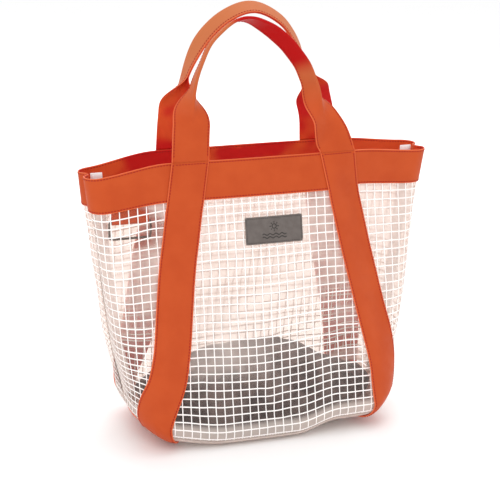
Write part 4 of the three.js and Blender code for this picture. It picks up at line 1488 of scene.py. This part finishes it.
def ring_tab():
    """The tape loop that holds the ring's top bar, sewn inside the front band."""
    edge_x = RING_PIVOT[0] - TAB_WIDTH / 2
    low = wall(edge_x, BAND_LOW - TAB_HANG, -SHEET - GAP)
    high = wall(edge_x, BAND_LOW, -SHEET - GAP)
    tilt = math.atan2(high[1] - low[1], high[2] - low[2])
    radius = TAB_LOOP + TAPE / 2
    top = TAB_HANG + TAB_OVERLAP - TAB_LOOP - TAPE
    loose = -TAB_LOOP + GAP + TAPE / 2
    points = [(-radius, v) for v in np.linspace(top, 1.5, 8)]
    points += [(radius * math.cos(a), radius * math.sin(a)) for a in np.linspace(math.pi, 2 * math.pi, 17)]
    points += [(mix(radius, loose, k), TAB_NECK * k) for k in (0.3, 0.6, 0.9)]
    points += [(loose, v) for v in np.linspace(TAB_NECK + 1.2, top, 6)]
    flat = np.array(points)
    away = np.array([0.0, math.cos(tilt), -math.sin(tilt)])
    up = np.array([0.0, math.sin(tilt), math.cos(tilt)])
    across = across_stops(TAB_WIDTH, 9)
    line = RING_PIVOT + flat[:, :1] * away + flat[:, 1:] * up
    middle = line[:, None] + across[None, :, None] * ACROSS
    outward = np.zeros_like(middle)
    outward[:8] = -away
    piece, _ = tape_piece("ring_tab_tape", middle, across, run_length(line), outward, TAPE_FACES)
    finish_piece(piece, BODY, "orange_tape", "ring_tab")
    x = np.linspace(-TAB_WIDTH / 2 + 2, TAB_WIDTH / 2 - 2, 12)
    rows = []
    for height in (TAB_NECK + 3.0, top - 2.5):
        spot = RING_PIVOT + (loose + TAPE / 2) * away + height * up
        rows.append((spot + x[:, None] * ACROSS, np.tile(away, (len(x), 1))))
    return finish_piece(stitches("ring_tab_stitches", rows, RED_THREAD), BODY, "orange_tape")


# ---- the cloth pouch lying in the bag ----
POUCH_LOW, POUCH_HIGH = box_mm("inner_pouch")
# The mound's height at places across the bag, and its share of the plan at shares of that height.
POUCH_TOP = [(-150, 58), (-108, 79), (-60, 89), (-13, 93), (39, 92), (65, 81), (99, 58), (150, 54)]
POUCH_PROFILE = [(0.0, 0.62), (0.05, 0.78), (0.12, 0.89), (0.2, 0.95), (0.34, 1.0),
                 (0.55, 0.96), (0.74, 0.85), (0.88, 0.66), (0.97, 0.36)]
POUCH_AROUND = 150
POUCH_LEVELS = 54
POUCH_SQUARENESS = 2 / 3
POUCH_PEAK = 0.97
POUCH_CROWDING = 1.25
POUCH_FLOOR_RINGS = (0.15, 0.3, 0.45, 0.6, 0.75, 0.9)


def pouch():
    """A slack cloth pouch: a low mound with soft folds running over it."""
    half = (POUCH_HIGH - POUCH_LOW)[:2] / 2
    angle = 2 * math.pi * np.arange(POUCH_AROUND) / POUCH_AROUND
    cos, sin = (np.sign(v) * np.abs(v) ** POUCH_SQUARENESS for v in (np.cos(angle), np.sin(angle)))
    height = POUCH_PEAK * (1 - (1 - np.linspace(0, 1, POUCH_LEVELS)) ** POUCH_CROWDING)
    scale = np.interp(height, *np.array(POUCH_PROFILE).T)
    scale = np.convolve(np.pad(scale, 2, mode="edge"), np.array([1, 2, 3, 2, 1]) / 9, "valid")
    x = half[0] * scale[:, None] * cos[None]
    y = half[1] * scale[:, None] * sin[None]
    z = height[:, None] * np.interp(x, *np.array(POUCH_TOP, float).T)
    grid = np.stack([x, y, z], -1)
    folds = ripple(grid * [1.0, 1.0, 0.7], 34.0, 2.0)
    sharp = 1 - np.abs(ripple(grid * [1.0, 1.0, 0.5], 46.0, 7.0)) * 2
    push = -2.0 + 1.5 * folds + 1.5 * sharp + 0.6 * ripple(grid, 11.0, 4.0)
    out = unit(np.stack([x / half[0] ** 2, y / half[1] ** 2, (z - 30) / 70.0 ** 2], -1))
    free = smooth(height, 0.0, 0.15)[:, None, None]
    grid = grid + out * (np.minimum(push, 0)[..., None] + 1.0 * sharp[..., None]) * free
    grid[..., 2] += POUCH_LOW[2] + base_lift(grid[..., 0], grid[..., 2])
    grid[..., 2] = np.maximum(grid[..., 2], POUCH_LOW[2] + base_lift(grid[..., 0], 0.0))
    floor = [grid[0] * [k, k, 1] for k in POUCH_FLOOR_RINGS]
    for row in floor:
        row[:, 2] = POUCH_LOW[2] + base_lift(row[:, 0], 0.0)
    rows = np.concatenate([np.array(floor), grid])
    points, faces = closed_rings(rows, (0.0, 0.0, POUCH_LOW[2]), grid[-1].mean(0))
    piece = mesh_object("cloth_pouch", points, faces, [POUCH_CLOTH])
    fix_normals(piece)
    finish_piece(piece, BODY, "charcoal_cloth", "inner_pouch")
    return piece


# ---- stage ----
CAMERA_AZIMUTH = math.radians(-19.06)
CAMERA_ELEVATION = math.radians(18.39)
CAMERA_ROLL = math.radians(0.54)
CAMERA_DISTANCE = 2.0165
CAMERA_FOCUS = Vector((0, 0, 0.170))
CAMERA_AIM = Vector((-0.0004, 0.0157, 0.2141))
CAMERA_LENS = 117.9
# Each light's name, place, aim, size in metres and power in watts.
LIGHTS = [
    ("key", (-1.2, -1.6, 2.2), (0, 0, 0.2), 1.6, 12),
    ("top", (0.5, 0.4, 2.4), (0, 0, 0.3), 1.6, 12),
    ("rim", (0.5, 1.7, 1.1), (0, 0, 0.2), 1.6, 10),
]
FLOOR_HALF = 6.0
FLOOR_LOW = -0.0008


def camera():
    """The photo's viewing angle, from a distance that matches its perspective."""
    data = bpy.data.cameras.new("camera")
    data.lens = CAMERA_LENS
    data.clip_end = 50
    view = placed("camera", data)
    back = Vector((
        math.sin(CAMERA_AZIMUTH) * math.cos(CAMERA_ELEVATION),
        -math.cos(CAMERA_AZIMUTH) * math.cos(CAMERA_ELEVATION),
        math.sin(CAMERA_ELEVATION),
    ))
    view.location = CAMERA_FOCUS + back * CAMERA_DISTANCE
    look = (CAMERA_AIM - view.location).to_track_quat("-Z", "Y")
    view.rotation_euler = (look.to_matrix() @ Matrix.Rotation(CAMERA_ROLL, 3, "Z")).to_euler()
    bpy.context.scene.camera = view


def area_light(name, place, aim, size, watts):
    data = bpy.data.lights.new(name, "AREA")
    data.size = size
    data.energy = watts
    lamp = placed(name, data)
    lamp.location = place
    lamp.rotation_euler = (Vector(aim) - lamp.location).to_track_quat("-Z", "Y").to_euler()


def studio():
    """A white world, three soft lamps and a plain pale floor."""
    scene = bpy.context.scene
    scene.view_settings.view_transform = "Standard"
    world = bpy.data.worlds.new("studio")
    scene.world = world
    world.use_nodes = True
    background = world.node_tree.nodes["Background"]
    background.inputs["Color"].default_value = (1, 1, 1, 1)
    background.inputs["Strength"].default_value = 1.0
    for light in LIGHTS:
        area_light(*light)
    mesh = bpy.data.meshes.new("floor")
    corners = [(x * FLOOR_HALF, y * FLOOR_HALF, FLOOR_LOW) for x, y in ((-1, -1), (1, -1), (1, 1), (-1, 1))]
    mesh.from_pydata(corners, [], [(0, 1, 2, 3)])
    mesh.materials.append(pale_floor())
    placed("floor", mesh)


camera()
studio()
film_panel("front_film", 1, "front_panel")
film_panel("back_film", -1, "back_panel")
thread_grid("front_threads", 1)
thread_grid("back_threads", -1)
base_film()
base_threads()
base_seam()
band("front_band_tape", 1, "front_band")
band("back_band_tape", -1, "back_band")
strap("left_strap_tape", -1, "left_strap")
strap("right_strap_tape", 1, "right_strap")
handle("front_handle_tape", FRONT_PATH, 1, front_twist, 1.1, FRONT_HANDLE_FACES, "front_handle")
handle("back_handle_tape", BACK_PATH, -1, back_twist, 0.3, BACK_HANDLE_FACES, "back_handle")
seam_binding("left_binding_tape", -1, "left_seam_binding")
seam_binding("right_binding_tape", 1, "right_seam_binding")
label()
ring()
ring_tab()
pouch()
